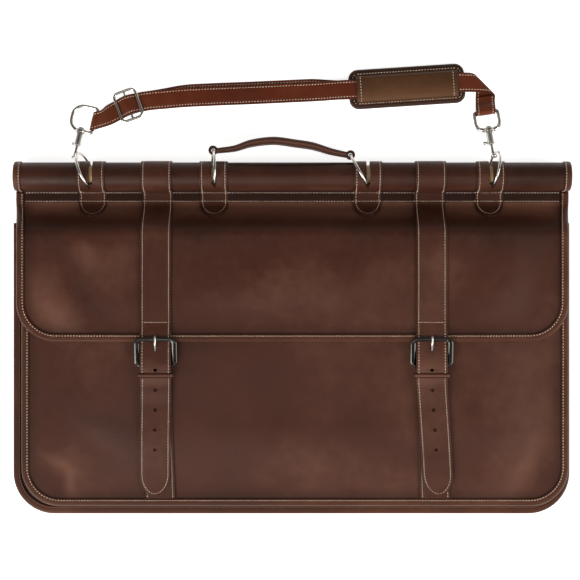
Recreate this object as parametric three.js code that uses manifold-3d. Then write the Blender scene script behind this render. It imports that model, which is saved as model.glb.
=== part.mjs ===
// Leather hunting bag lying on its back: a gusseted body under a buckled flap, a rolled top beam on a
// wooden rod, four steel rings in slit tabs, a carrying handle and a padded shoulder strap on snap hooks.
// Millimetres. +X runs to the right along the beam, +Y towards the beam, +Z up from the surface it lies on.
import * as THREE from 'three';
import { mergeVertices } from 'three/addons/utils/BufferGeometryUtils.js';
import Module from 'manifold-3d';

const wasm = await Module();
wasm.setup();

// Clearance kept between neighbouring pieces, and leather thicknesses
const GAP = 0.35;
const PANEL = 2.0;
const FLAP_LEATHER = 2.2;
const GUSSET_LEATHER = 1.5;
const BINDING_LEATHER = 1.6;
const TAB_LEATHER = 1.6;
const STRAP_LEATHER = 2.2;
const SHOULDER_LEATHER = 1.8;

// Outlines of the two panels: centre, half width, lower and upper edge, lower corner radius
const BACK = { x: 0, half: 313.8, bottom: -252, top: 108, sideTop: 76, corner: 45 };
const FRONT = { x: 4, half: 305.5, bottom: -241, top: 58, corner: 42 };
const FLAP = { x: 1, half: 307, rollHalf: 311, bottom: -56, corner: 42 };
const RISE = { top: 98, end: 62, rows: 6 };
const BINDING_REACH = 9;
const CORNER_STEPS = 5;
const COLUMN_INSETS = [0, 12, 34, 58, 84, 112, 172, 240];

// Heights of the panels' middle surfaces, and how far the front swells
const BACK_MID = BINDING_LEATHER + GAP + PANEL / 2;
const FRONT_EDGE_MID = 26.8;
const SWELL = { height: 10, start: 12, sides: 120, foot: 90 };
const FLAP_ROOM = { edge: 4.6, middle: 3 };
const PANEL_ROOM = 0.6;

// Section of the bellows gusset, as reach inwards from the back's or the front's outline
const GUSSET_FOLD = [
  { side: 'back', reach: 0.6, z: BACK_MID + PANEL / 2 + GAP + GUSSET_LEATHER / 2 },
  { side: 'back', reach: 11, z: BACK_MID + PANEL / 2 + GAP + GUSSET_LEATHER / 2 },
  { side: 'back', reach: 30, z: 11.6 },
  { side: 'back', reach: 33, z: 14 },
  { side: 'front', reach: 24, z: 16.6 },
  { side: 'front', reach: 11, z: FRONT_EDGE_MID - PANEL / 2 - GAP - GUSSET_LEATHER / 2 },
  { side: 'front', reach: 0.6, z: FRONT_EDGE_MID - PANEL / 2 - GAP - GUSSET_LEATHER / 2 },
];

// Beam: a rod inside the rolled top of the flap leather
const ROLL = { y: 128.1, z: 23.2, radius: 14.4, fillet: 4, pinchZ: 7.65 };
const SEAM = 4;
const REAR_LEG = { end: 99, turn: 109, z: 5.3 };
const ROLL_ARC = { fromDeg: -100, toDeg: 180, steps: 11 };
const ROD = { radius: 11.6, half: 300 };

// Tabs, rings and the slit that each ring works in
const TAB = { half: 16, tip: 80.7 };
const RING = { radius: 21.4, wire: 1.5, room: 0.45, holeY: 117.6, holeRise: 11.4 };
const SLIT = { half: 1.2, room: 0.2, tool: 6, fromDeg: 12, toDeg: 128 };
const RINGS = [
  { name: 'ring_shoulder_left', x: -225, tiltDeg: 22, leanDeg: -14 },
  { name: 'ring_handle_left', x: -87.5, tiltDeg: 1, leanDeg: 6 },
  { name: 'ring_handle_right', x: 86, tiltDeg: 30, leanDeg: -4 },
  { name: 'ring_shoulder_right', x: 223.5, tiltDeg: -12.5, leanDeg: 10 },
];

// Closing straps and buckles
const STRAP = { half: 17.5, sewnEnd: -36, tip: -231, skewFrom: -102 };
const STRAPS = [
  { side: 'left', x: -151.5, skewDeg: -0.8, frontSkewDeg: 1.8 },
  { side: 'right', x: 156.2, skewDeg: 3.9, frontSkewDeg: 2.2 },
];
const BUCKLE = { restY: -54.6, hingeY: -84.7, bar: 1.9, half: 21, corner: 7, hingeCorner: 2.6 };
const PRONG = { radius: 1.3, holeY: -66.9, tipY: -50.8, eyeFromDeg: 20, eyeToDeg: -250 };
const PRONG_RISE = [
  { y: -78.5, share: 0.22 },
  { y: -72, share: 0.5 },
  { y: -66, share: 0.8 },
  { y: -60.5, share: 0.97 },
];
const HOLE = { pitch: 22.3, count: 5, radius: 2, tool: 12 };
const FRONT_STRAP = { half: 17.1, bottom: -230.5, flatTo: -130, doubledTo: -110, returnEnd: -108 };
const PRONG_SLOT = { half: 2.4, length: 10 };
const KEEPER = { y: -95.5, width: 7, leather: 1.3, half: 18.3, lift: 3.0, top: 11.3 };

// Handle: centre line in plan, a row for each section with its thickness and height
const HANDLE_SECTIONS = [
  { x: -84.8, y: 156.6, thick: 5, tall: 11 },
  { x: -64, y: 159.2, thick: 6.4, tall: 16 },
  { x: -45, y: 165, thick: 8.4, tall: 21 },
  { x: -20, y: 167.8, thick: 9, tall: 22 },
  { x: 4, y: 164.9, thick: 9, tall: 22 },
  { x: 24, y: 161.8, thick: 8.4, tall: 21 },
  { x: 44, y: 155.8, thick: 6.4, tall: 16 },
  { x: 62.8, y: 151.8, thick: 5, tall: 11 },
];
const HANDLE_EYE = { radius: 5.2, hole: 2.6, tall: 11 };

// Shoulder strap: plan route of its long upper run from the left hook to the fold by the right hook
const SHOULDER = { half: 11, floorMid: 1.0, runMid: 3.15, padMid: 10.5, tailPadMid: 8.3 };
const ROUTE = [
  { x: -185.4, y: 210 },
  { x: -136, y: 217.6 },
  { x: -92.6, y: 220.2 },
  { x: -47, y: 222 },
  { x: 9.7, y: 224.6 },
  { x: 66.5, y: 227.2 },
  { x: 131, y: 230.9 },
  { x: 176, y: 234.9 },
  { x: 196, y: 235.5 },
  { x: 218.5, y: 235.5 },
];
const SLIDE_X = -185.4;
const PAD_LEAVE = { from: 188, to: 203 };
const FOLD = { x: 218.5, y: 235.5, radius: 3.4 };
const RIGHT_RETURN_END = 220;
const TAIL = { shift: 4, end: 82 };
const PAD = { x: 131, y: 231.3, turnDeg: 3.7, length: 132, width: 45, corner: 11, thick: 7 };
const PAD_EASE = [
  { inset: 2.5, z: 0 },
  { inset: 0.4, z: 1.4 },
  { inset: 0, z: 3.5 },
  { inset: 0.6, z: 5.6 },
  { inset: 3, z: PAD.thick },
];
const COVER = { length: 115, half: 17.7, archHalf: 13.2, leather: 1.5, archMid: 12.6, bend: 1.3 };
const SLIDE = { half: 16.8, reach: 12.6, bar: 1.2, z: 5.6, corner: 5 };

// Snap hooks, measured along their own axis from the eye's bar
const EYE = { half: 13.6, legs: 29.6, wire: 1.7, corner: 3.4 };
const EYE_BASE = { from: 28, to: 32, radius: 5, bore: 2.4, tool: 3 };
const POST = { radius: 2, head: 3.4, headFrom: 25.6, headTo: 27.6 };
const BARREL = { radius: 3.8, from: 32.4, to: 47, bore: 2.1, boreFrom: 34.4 };
const CLAW = { x: 5.6, y: 52.6, radius: 8.6, wire: 1.9, seat: 1.5, fromDeg: -125, toDeg: 100 };
const DISC = { x: 0.6, radius: 3.8, from: 60.3, to: 62.6 };
const BOLT = { radius: 1.7, from: 43.4, to: 59.9 };
const KNOB = { y: 44.6, radius: 1.3, button: 2, reach: 7.4, slotFrom: 34.9, slotTo: 46.2 };
const HOOK_AXIS_Z = 8;
const HOOKS = [
  { side: 'left', ring: 0, rollDeg: 45, yawDeg: -12 },
  { side: 'right', ring: 3, rollDeg: 0, yawDeg: 8 },
];

// Broad dents and ridges of the soft leather: place, direction, reach along and across it, and height
const FRONT_FOLDS = [
  { x: -250, y: -198, deg: 35, along: 75, across: 30, height: -3 },
  { x: 250, y: -160, deg: 62, along: 95, across: 34, height: 3 },
  { x: -40, y: -150, deg: 5, along: 150, across: 60, height: -2.5 },
  { x: 60, y: -205, deg: -8, along: 130, across: 32, height: 2 },
];
const FLAP_FOLDS = [
  { x: -225, y: 10, deg: -62, along: 60, across: 26, height: 2.5 },
  { x: 20, y: 5, deg: 8, along: 120, across: 34, height: 2.5 },
  { x: 240, y: 15, deg: 70, along: 60, across: 28, height: 2 },
];

const finish = (color, roughness, metalness) =>
  new THREE.MeshStandardMaterial({ color, roughness, metalness });
const leather = finish(0x4a2a1c, 0.45, 0);
const bindingLeather = finish(0x3f2317, 0.5, 0);
const strapLeather = finish(0x55301f, 0.45, 0);
const shoulderLeather = finish(0x673a26, 0.45, 0);
const padLeather = finish(0x4a3324, 0.6, 0);
const steel = finish(0xb9bcc0, 0.22, 1);
const wood = finish(0xcbb58c, 0.6, 0);

const bag = new THREE.Group();

const radians = THREE.MathUtils.degToRad;
const lerp = THREE.MathUtils.lerp;
const smooth = (value, from, to) => THREE.MathUtils.smoothstep(value, from, to);
const point = (x, y, z) => new THREE.Vector3(x, y, z);
const steps = (from, to, count) => Array.from({ length: count + 1 }, (_, i) => lerp(from, to, i / count));

// A closed geometry from points and triangles, turned so that its faces point out.
function closedGeometry(points, triangles) {
  let volume = 0;
  for (const [a, b, c] of triangles) volume += points[a].dot(points[b].clone().cross(points[c]));
  const geometry = new THREE.BufferGeometry();
  geometry.setAttribute('position', new THREE.Float32BufferAttribute(points.flatMap((p) => p.toArray()), 3));
  geometry.setIndex(triangles.flatMap(([a, b, c]) => (volume < 0 ? [a, c, b] : [a, b, c])));
  geometry.computeVertexNormals();
  return geometry;
}

// A solid through equal rings of points, capped at both ends or closed on itself.
function loft(rings, section, closed = false) {
  const size = rings[0].length;
  const triangles = [];
  const spans = closed ? rings.length : rings.length - 1;
  for (let j = 0; j < spans; j++) {
    const here = j * size;
    const next = ((j + 1) % rings.length) * size;
    for (let i = 0; i < size; i++) {
      const k = (i + 1) % size;
      triangles.push([here + i, here + k, next + k], [here + i, next + k, next + i]);
    }
  }
  if (!closed) {
    const last = (rings.length - 1) * size;
    const turned = THREE.ShapeUtils.isClockWise(section);
    for (const face of THREE.ShapeUtils.triangulateShape(section, [])) {
      const [a, b, c] = turned ? face.toReversed() : face;
      triangles.push([c, b, a], [last + a, last + b, last + c]);
    }
  }
  return closedGeometry(rings.flat(), triangles);
}

// A section, given as pairs of reach along two directions, carried along frames of origin and directions.
function sweep(frames, outline, closed = false) {
  const section = outline.map(([a, b]) => new THREE.Vector2(a, b));
  if (THREE.ShapeUtils.isClockWise(section)) section.reverse();
  const rings = frames.map(({ at, along, up, scale = 1 }) =>
    section.map((s) => at.clone().addScaledVector(along, s.x * scale).addScaledVector(up, s.y * scale)));
  return loft(rings, section, closed);
}

const circle = (radius, sides) =>
  steps(0, 2 * Math.PI, sides).slice(0, sides).map((a) => [radius * Math.cos(a), radius * Math.sin(a)]);

// Outline of a rectangle with rounded corners, as pairs, from its half sizes.
function roundedRectangle(halfX, halfY, radius, cornerSteps) {
  const turns = [[1, 1, 0], [-1, 1, 90], [-1, -1, 180], [1, -1, 270]];
  return turns.flatMap(([sx, sy, from]) => steps(from, from + 90, cornerSteps).map(radians).map((a) =>
    [sx * (halfX - radius) + radius * Math.cos(a), sy * (halfY - radius) + radius * Math.sin(a)]));
}

// Frames along a row of points that keep one direction fixed as nearly as they can.
function framesAlong(points, fixed, closed = false) {
  const count = points.length;
  return points.map((at, i) => {
    const before = closed ? points[(i + count - 1) % count] : points[Math.max(i - 1, 0)];
    const after = closed ? points[(i + 1) % count] : points[Math.min(i + 1, count - 1)];
    const tangent = after.clone().sub(before).normalize();
    const along = new THREE.Vector3().crossVectors(tangent, fixed).normalize();
    return { at, along, up: new THREE.Vector3().crossVectors(along, tangent).normalize() };
  });
}

const tube = (points, radius, sides, fixed, closed = false) =>
  sweep(framesAlong(points, fixed, closed), circle(radius, sides), closed);

// A leather wall: a grid of places with normals, given its thickness on both sides.
function wall(shares, rows, place, thickness) {
  const columns = shares.length - 1;
  const points = [];
  for (const side of [0.5, -0.5]) {
    for (let j = 0; j <= rows; j++) {
      for (let i = 0; i <= columns; i++) {
        const { at, up } = place(shares[i], j);
        points.push(at.clone().addScaledVector(up, side * thickness));
      }
    }
  }
  const under = (columns + 1) * (rows + 1);
  const id = (i, j) => j * (columns + 1) + i;
  const triangles = [];
  for (let j = 0; j < rows; j++) {
    for (let i = 0; i < columns; i++) {
      const [a, b, c, d] = [id(i, j), id(i + 1, j), id(i + 1, j + 1), id(i, j + 1)];
      triangles.push([a, b, c], [a, c, d]);
      triangles.push([under + a, under + c, under + b], [under + a, under + d, under + c]);
    }
  }
  const rim = [];
  for (let i = 0; i < columns; i++) rim.push([id(i, 0), id(i + 1, 0)], [id(i + 1, rows), id(i, rows)]);
  for (let j = 0; j < rows; j++) rim.push([id(columns, j), id(columns, j + 1)], [id(0, j + 1), id(0, j)]);
  for (const [a, b] of rim) triangles.push([b, a, under + a], [b, under + a, under + b]);
  return closedGeometry(points, triangles);
}

// A strap: a flat band through stations that hold a place, a normal, a width direction and a half width.
function strap(stations, thickness) {
  const h = thickness / 2;
  const rings = stations.map(({ at, up, across, half }) =>
    [[-half, -h], [half, -h], [half, h], [-half, h]].map(([w, n]) =>
      at.clone().addScaledVector(across, w).addScaledVector(up, n)));
  const section = [[-1, -1], [1, -1], [1, 1], [-1, 1]].map(([a, b]) => new THREE.Vector2(a, b));
  return loft(rings, section);
}

// Boolean cuts and joins
function toManifold(geometry) {
  const bare = geometry.clone();
  bare.deleteAttribute('normal');
  bare.deleteAttribute('uv');
  const merged = mergeVertices(bare, 1e-4);
  const vertProperties = new Float32Array(merged.attributes.position.array);
  const triVerts = new Uint32Array(merged.index.array);
  return new wasm.Manifold(new wasm.Mesh({ numProp: 3, vertProperties, triVerts }));
}

function fromManifold(manifold) {
  const mesh = manifold.getMesh();
  const geometry = new THREE.BufferGeometry();
  geometry.setAttribute('position', new THREE.Float32BufferAttribute(mesh.vertProperties, 3));
  geometry.setIndex(Array.from(mesh.triVerts));
  geometry.computeVertexNormals();
  return geometry;
}

const cut = (geometry, ...tools) =>
  fromManifold(tools.reduce((body, tool) => body.subtract(toManifold(tool)), toManifold(geometry)));
const join = (geometry, ...others) =>
  fromManifold(others.reduce((body, other) => body.add(toManifold(other)), toManifold(geometry)));

function box(from, to) {
  const size = to.clone().sub(from);
  const middle = from.clone().add(to).multiplyScalar(0.5);
  return new THREE.BoxGeometry(size.x, size.y, size.z).translate(middle.x, middle.y, middle.z);
}

// A cylinder from one place to another along the Y axis of its own frame.
const rodAlongY = (radius, from, to, sides, x = 0) =>
  new THREE.CylinderGeometry(radius, radius, to - from, sides).translate(x, (from + to) / 2, 0);

function addPiece(name, geometry, material, parent = bag) {
  const mesh = new THREE.Mesh(geometry, material);
  mesh.name = name;
  parent.add(mesh);
  return mesh;
}

// Sum of broad dents and ridges at a place in plan.
function foldHeight(folds, x, y) {
  return folds.reduce((sum, fold) => {
    const turn = radians(fold.deg);
    const along = (x - fold.x) * Math.cos(turn) + (y - fold.y) * Math.sin(turn);
    const across = (y - fold.y) * Math.cos(turn) - (x - fold.x) * Math.sin(turn);
    return sum + fold.height * Math.exp(-((along / fold.along) ** 2) - (across / fold.across) ** 2);
  }, 0);
}

// Height of the front panel's middle surface: flat in the binding, swelling inside it.
function frontMid(x, y) {
  const side = FRONT.half - Math.abs(x - FRONT.x);
  const foot = y - FRONT.bottom;
  const inside = smooth(side, SWELL.start, SWELL.sides) * smooth(foot, SWELL.start, SWELL.foot);
  return FRONT_EDGE_MID + inside * (SWELL.height + foldHeight(FRONT_FOLDS, x, y));
}

// Height of the flap's middle surface where it rises from the beam's seam and lies over the front.
function flapMid(x, y) {
  const side = FLAP.half - Math.abs(x - FLAP.x);
  const room = lerp(FLAP_ROOM.edge, FLAP_ROOM.middle, smooth(side, SWELL.start, SWELL.sides));
  const risen = smooth(-y, -RISE.top, -RISE.end);
  const ridge = foldHeight(FLAP_FOLDS, x, y) * smooth(side, SWELL.start, SWELL.sides / 2)
    * smooth(y - FLAP.bottom, SWELL.start, 4 * SWELL.start);
  const over = frontMid(x, Math.min(y, FRONT.top)) + PANEL / 2 + room + ridge + FLAP_LEATHER / 2;
  return lerp(ROLL.pinchZ, over, risen);
}

function flapSurface(x, y) {
  const d = 0.5;
  const slopeX = (flapMid(x + d, y) - flapMid(x - d, y)) / (2 * d);
  const slopeY = (flapMid(x, y + d) - flapMid(x, y - d)) / (2 * d);
  return { at: point(x, y, flapMid(x, y)), up: point(-slopeX, -slopeY, 1).normalize() };
}

// Section of the rolled beam, from the seam's rear leg round the rod to the seam's front leg, set out by an
// offset towards the outside.
function rollSection(offset, rearLeg) {
  const outer = ROLL.radius + offset;
  const fillet = ROLL.fillet - offset;
  const nearY = ROLL.y - ROLL.radius - ROLL.fillet;
  const filletZ = ROLL.pinchZ + ROLL.fillet;
  const arc = steps(ROLL_ARC.fromDeg, ROLL_ARC.toDeg, ROLL_ARC.steps).map(radians);
  return [
    ...rearLeg,
    ...arc.map((a) => ({ y: ROLL.y + outer * Math.cos(a), z: ROLL.z + outer * Math.sin(a) })),
    ...steps(0, -90, 3).map(radians)
      .map((a) => ({ y: nearY + fillet * Math.cos(a), z: filletZ + fillet * Math.sin(a) })),
    { y: RISE.top + SEAM, z: ROLL.pinchZ + offset },
  ];
}

// Rows of a band that follows the beam's section: place in Y and Z and the outward normal.
function rowNormals(rows) {
  return rows.map((row, i) => {
    const before = rows[Math.max(i - 1, 0)];
    const after = rows[Math.min(i + 1, rows.length - 1)];
    const length = Math.hypot(after.y - before.y, after.z - before.z);
    return { ...row, ny: (after.z - before.z) / length, nz: -(after.y - before.y) / length };
  });
}

// Rows of an outline from its foot up through its rounded corners.
function cornerRows({ bottom, corner }) {
  return steps(90, 0, CORNER_STEPS).map((deg) => bottom + corner * (1 - Math.sin(radians(deg))));
}

// Shares across a panel from edge to edge, closer in the bindings and where the leather starts to swell.
function columnShares(half) {
  const left = COLUMN_INSETS.map((inset) => inset / half - 1);
  return [...left, 0, ...left.toReversed().map((share) => -share)];
}

const flapShares = columnShares(FLAP.half);
const flapRearLeg = [{ y: REAR_LEG.end, z: REAR_LEG.z }, { y: REAR_LEG.turn, z: REAR_LEG.z }];
const flapRoll = rowNormals(rollSection(0, flapRearLeg));
const flapRise = steps(RISE.top, RISE.end, RISE.rows);
const flapPlain = steps(RISE.end, FLAP.bottom + FLAP.corner, 5).slice(1);
const flapCorner = cornerRows(FLAP).reverse().slice(1);

function cornerHalf(outline, y) {
  const into = Math.max(outline.bottom + outline.corner - y, 0);
  return outline.half - outline.corner + Math.sqrt(Math.max(outline.corner ** 2 - into ** 2, 0));
}

const flapHalf = (y) => (y > RISE.end
  ? lerp(FLAP.half, FLAP.rollHalf, smooth(y, RISE.end, RISE.top + SEAM)) : cornerHalf(FLAP, y));

// Cutters for the rings' ways and the slits over the rod
function ringPlacement({ x, tiltDeg, leanDeg }) {
  const turn = new THREE.Matrix4().makeRotationZ(radians(tiltDeg));
  const lean = new THREE.Matrix4().makeRotationY(radians(leanDeg));
  const reach = Math.sqrt(RING.radius ** 2 - RING.holeRise ** 2);
  return new THREE.Matrix4().makeTranslation(x, RING.holeY, ROLL.z).multiply(turn).multiply(lean)
    .multiply(new THREE.Matrix4().makeTranslation(0, reach, 0));
}

const ringShape = (wire) => new THREE.TorusGeometry(RING.radius, wire, 6, 20).rotateY(Math.PI / 2);

function ringCutter(ring) {
  return ringShape(RING.wire + RING.room).applyMatrix4(ringPlacement(ring));
}

function slitCutter({ x }) {
  const [inner, outer] = [ROD.radius + SLIT.room, ROLL.radius + SLIT.tool];
  const arc = steps(SLIT.fromDeg, SLIT.toDeg, 8).map(radians);
  const outline = [
    ...arc.map((a) => [outer * Math.cos(a), outer * Math.sin(a)]),
    ...arc.reverse().map((a) => [inner * Math.cos(a), inner * Math.sin(a)]),
  ];
  const ends = [-SLIT.half, SLIT.half].map((dx) =>
    ({ at: point(x + dx, ROLL.y, ROLL.z), along: point(0, 1, 0), up: point(0, 0, 1) }));
  return sweep(ends, outline);
}

const ringCutters = RINGS.map(ringCutter);
const slitCutters = RINGS.map(slitCutter);

// Flap: one hide from the rear seam leg, round the rod and down over the front
function flapGeometry() {
  const field = [...flapRise, ...flapPlain, ...flapCorner];
  const rows = flapRoll.length + field.length - 1;
  return wall(flapShares, rows, (share, j) => {
    const onRoll = j < flapRoll.length;
    const y = onRoll ? flapRoll[j].y : field[j - flapRoll.length];
    const half = onRoll ? FLAP.rollHalf : flapHalf(y);
    const x = FLAP.x + share * half;
    if (!onRoll) return flapSurface(x, y);
    return { at: point(x, y, flapRoll[j].z), up: point(0, flapRoll[j].ny, flapRoll[j].nz) };
  }, FLAP_LEATHER);
}

// Panels: rows of an outline with rounded lower corners
function panelRows(outline, plainRows) {
  return [...cornerRows(outline), ...steps(outline.bottom + outline.corner, outline.top, plainRows).slice(1)];
}

function frontPanelGeometry() {
  const rows = panelRows(FRONT, 8);
  return wall(columnShares(FRONT.half), rows.length - 1, (share, j) => {
    const x = FRONT.x + share * cornerHalf(FRONT, rows[j]);
    return { at: point(x, rows[j], frontMid(x, rows[j])), up: point(0, 0, 1) };
  }, PANEL);
}

function backPanelGeometry() {
  const rows = panelRows(BACK, 3);
  return wall([-1, 0, 1], rows.length - 1, (share, j) => {
    const half = rows[j] > BACK.sideTop ? BACK.half - 6 : cornerHalf(BACK, rows[j]);
    return { at: point(BACK.x + share * half, rows[j], BACK_MID), up: point(0, 0, 1) };
  }, PANEL);
}

// Stations down one side of an outline, round its corner, along its foot and up the other side: place in plan
// and the direction inwards.
function outlineStations(outline, sideRows, footShares) {
  const { x, half, bottom, corner } = outline;
  const left = sideRows.map((y) => ({ x: x - half, y, inX: 1, inY: 0 }));
  const bend = steps(180, 270, CORNER_STEPS).slice(1).map((deg) => {
    const [c, s] = [Math.cos(radians(deg)), Math.sin(radians(deg))];
    return { x: x - half + corner + corner * c, y: bottom + corner + corner * s, inX: -c, inY: -s };
  });
  const foot = footShares.map((share) => ({ x: x + share * (half - corner), y: bottom, inX: 0, inY: 1 }));
  const start = [...left, ...bend, ...foot];
  const mirrored = start.slice(0, -1).reverse().map((s) => ({ ...s, x: 2 * x - s.x, inX: -s.inX }));
  return [...start, ...mirrored];
}

// A folded edge binding: walls above and below a stack of leathers that reach so far from the middle surface.
function bindingOutline(above, below, room = GAP) {
  const [top, foot, edge] = [above + room, below + room, -room];
  const b = BINDING_LEATHER;
  return [
    [BINDING_REACH, top + b], [edge - b, top + b], [edge - b, -foot - b], [BINDING_REACH, -foot - b],
    [BINDING_REACH, -foot], [edge, -foot], [edge, top], [BINDING_REACH, top],
  ];
}

function flatBinding(outline, top, z, above, below) {
  const sides = steps(top, outline.bottom + outline.corner, 2);
  const frames = outlineStations(outline, sides, [-0.5, 0]).map((s) =>
    ({ at: point(s.x, s.y, z), along: point(s.inX, s.inY, 0), up: point(0, 0, 1) }));
  return sweep(frames, bindingOutline(above, below));
}

function flapBinding() {
  const sides = [...flapRise.slice(1), ...flapPlain];
  const foot = flapShares.filter((share) => share > -1 && share <= 0);
  const frames = outlineStations(FLAP, sides, foot).map((s) => {
    const x = s.y > RISE.end ? FLAP.x + Math.sign(s.x - FLAP.x) * flapHalf(s.y) : s.x;
    const { at, up } = flapSurface(x, s.y);
    const inward = point(s.inX, s.inY, 0);
    return { at, along: inward.addScaledVector(up, -inward.dot(up)).normalize(), up };
  });
  return sweep(frames, bindingOutline(FLAP_LEATHER / 2, FLAP_LEATHER / 2, 2 * GAP));
}

function rollBinding(side) {
  const arc = flapRoll.filter((row) => row.y > ROLL.y - ROLL.radius + 0.5 && row.y !== flapRearLeg[1].y);
  const frames = arc.map((row) => ({
    at: point(FLAP.x + side * FLAP.rollHalf, row.y, row.z),
    along: point(-side, 0, 0),
    up: point(0, row.ny, row.nz),
  }));
  return sweep(frames, bindingOutline(FLAP_LEATHER / 2, FLAP_LEATHER / 2));
}

// Gusset: a bellows strip from the back binding, folded inwards, to the front binding
function gussetGeometry() {
  const back = outlineStations(BACK, steps(BACK.sideTop - 2, BACK.bottom + BACK.corner, 2), [-0.5, 0]);
  const front = outlineStations(FRONT, steps(FRONT.top, FRONT.bottom + FRONT.corner, 2), [-0.5, 0]);
  const rings = back.map((b, i) => {
    const line = GUSSET_FOLD.map(({ side, reach, z }) => {
      const s = side === 'back' ? b : front[i];
      return point(s.x + s.inX * reach, s.y + s.inY * reach, z);
    });
    const outward = point(b.inX, b.inY, 0);
    const normals = line.map((p, k) => {
      const t = line[Math.min(k + 1, line.length - 1)].clone().sub(line[Math.max(k - 1, 0)]);
      const [run, climb] = [t.dot(outward), t.z];
      return outward.clone().multiplyScalar(-climb).add(point(0, 0, run)).normalize();
    });
    const half = GUSSET_LEATHER / 2;
    const side = (sign) => line.map((p, k) => p.clone().addScaledVector(normals[k], sign * half));
    return [...side(1), ...side(-1).reverse()];
  });
  const flat = rings[0].map((p) => new THREE.Vector2(p.x, p.z));
  return loft(rings, flat);
}

// Tabs and closing straps follow the beam and the flap at an offset from the flap's middle surface.
function overFlap(x, y, offset) {
  const { at, up } = flapSurface(x, y);
  return { at: at.addScaledVector(up, offset), up };
}

function beamStations(x, offset, half) {
  const rear = [{ y: REAR_LEG.turn + 1, z: REAR_LEG.z - offset }];
  return rowNormals(rollSection(offset, rear))
    .map((r) => ({ at: point(x, r.y, r.z), up: point(0, r.ny, r.nz), across: point(1, 0, 0), half }));
}

// Half width of a band with a round end, at so far from its tip.
const roundedEnd = (half, toTip) =>
  (toTip >= half ? half : Math.sqrt(Math.max(half ** 2 - (half - toTip) ** 2, 1)));

function tabGeometry({ x }) {
  const offset = FLAP_LEATHER / 2 + GAP + TAB_LEATHER / 2;
  const tip = [...flapRise.slice(0, 3), 84, 82.4, 81.2, TAB.tip].map((y) =>
    ({ ...overFlap(x, y, offset), across: point(1, 0, 0), half: roundedEnd(TAB.half, y - TAB.tip) }));
  return strap([...beamStations(x, offset, TAB.half), ...tip], TAB_LEATHER);
}

const panelTop = (x, y) => frontMid(x, y) + PANEL / 2;
const hingeZ = (x) => panelTop(x, BUCKLE.hingeY) + 2 * GAP + 2 * PRONG.radius + BUCKLE.bar;
const overBinding = FLAP_LEATHER / 2 + 2 * GAP + BINDING_LEATHER + GAP + STRAP_LEATHER / 2;
const restZ = (x) => flapMid(x, BUCKLE.restY) + overBinding + STRAP_LEATHER / 2 + GAP + BUCKLE.bar;
const wrapRadius = BUCKLE.bar + GAP + PANEL / 2;

// Height of the front strap's middle: on the panel, then doubled, then over the buckle's hinge bar.
function frontStrapMid(x, y) {
  const lying = panelTop(x, y) + PANEL_ROOM + PANEL / 2;
  const doubled = lying + PANEL + GAP;
  const { flatTo, doubledTo } = FRONT_STRAP;
  if (y < doubledTo) return lerp(lying, doubled, smooth(y, flatTo, doubledTo));
  return lerp(doubled, hingeZ(x) + wrapRadius, smooth(y, doubledTo, BUCKLE.hingeY));
}

const billetRows = [
  BUCKLE.hingeY, ...steps(-92, -112, 3), FRONT_STRAP.flatTo + 10,
  ...steps(FRONT_STRAP.flatTo, STRAP.tip + STRAP.half, 5),
];

function closingStrapGeometry({ x, skewDeg }) {
  const offset = FLAP_LEATHER / 2 + PANEL_ROOM + STRAP_LEATHER / 2;
  const half = STRAP.half;
  const sewn = [...flapRise, ...flapPlain, ...flapCorner.slice(0, 1), STRAP.sewnEnd].map((y) =>
    ({ ...overFlap(x, y, offset), across: point(1, 0, 0), half }));
  const throughBuckle = [
    { y: flapCorner[2], z: flapMid(x, flapCorner[2]) + overBinding },
    { y: BUCKLE.restY, z: flapMid(x, BUCKLE.restY) + overBinding },
    { y: -60, z: flapMid(x, BUCKLE.restY) + overBinding + 0.2 },
  ];
  const billetMid = (y) => frontStrapMid(x, y) + PANEL / 2 + GAP + STRAP_LEATHER / 2;
  const tip = [4.5, 9, 12.5, 15.5, 17].map((d) => STRAP.tip + STRAP.half - d);
  const billet = [BUCKLE.hingeY + 6.7, ...billetRows, ...tip, STRAP.tip]
    .map((y) => ({ y, z: billetMid(Math.min(y, BUCKLE.hingeY)) }));
  const free = rowNormals([...throughBuckle, ...billet]).map((row) => ({
    at: point(x + Math.tan(radians(skewDeg)) * Math.max(STRAP.skewFrom - row.y, 0), row.y, row.z),
    up: point(0, row.ny, row.nz),
    across: point(1, 0, 0),
    half: roundedEnd(half, row.y - STRAP.tip),
  }));
  const band = strap([...beamStations(x, offset, half), ...sewn, ...free], STRAP_LEATHER);
  const holes = steps(1, HOLE.count, HOLE.count - 1).map((k) => {
    const y = PRONG.holeY - k * HOLE.pitch;
    const shift = Math.tan(radians(skewDeg)) * Math.max(STRAP.skewFrom - y, 0);
    return new THREE.CylinderGeometry(HOLE.radius, HOLE.radius, HOLE.tool, 8).rotateX(Math.PI / 2)
      .translate(x + shift, y, billetMid(y));
  });
  return cut(band, prongTube(x, PRONG.radius + GAP + 0.1), ...holes);
}

// Prong: an eye round the hinge bar, then up through the strap's hole to rest on the far bar
function prongTube(x, radius) {
  const [hy, hz, ry, rz] = [BUCKLE.hingeY, hingeZ(x), BUCKLE.restY, restZ(x)];
  const eye = BUCKLE.bar + GAP + PRONG.radius;
  const loop = steps(PRONG.eyeFromDeg, PRONG.eyeToDeg, 8).map(radians)
    .map((a) => point(x, hy + eye * Math.cos(a), hz + eye * Math.sin(a)));
  const top = rz + BUCKLE.bar + GAP + PRONG.radius;
  const rise = [...PRONG_RISE, { y: ry, share: 1 }, { y: PRONG.tipY, share: 1 }]
    .map(({ y, share }) => point(x, y, lerp(hz + eye, top, share)));
  return tube([...loop, ...rise], radius, 6, point(1, 0, 0));
}

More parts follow.
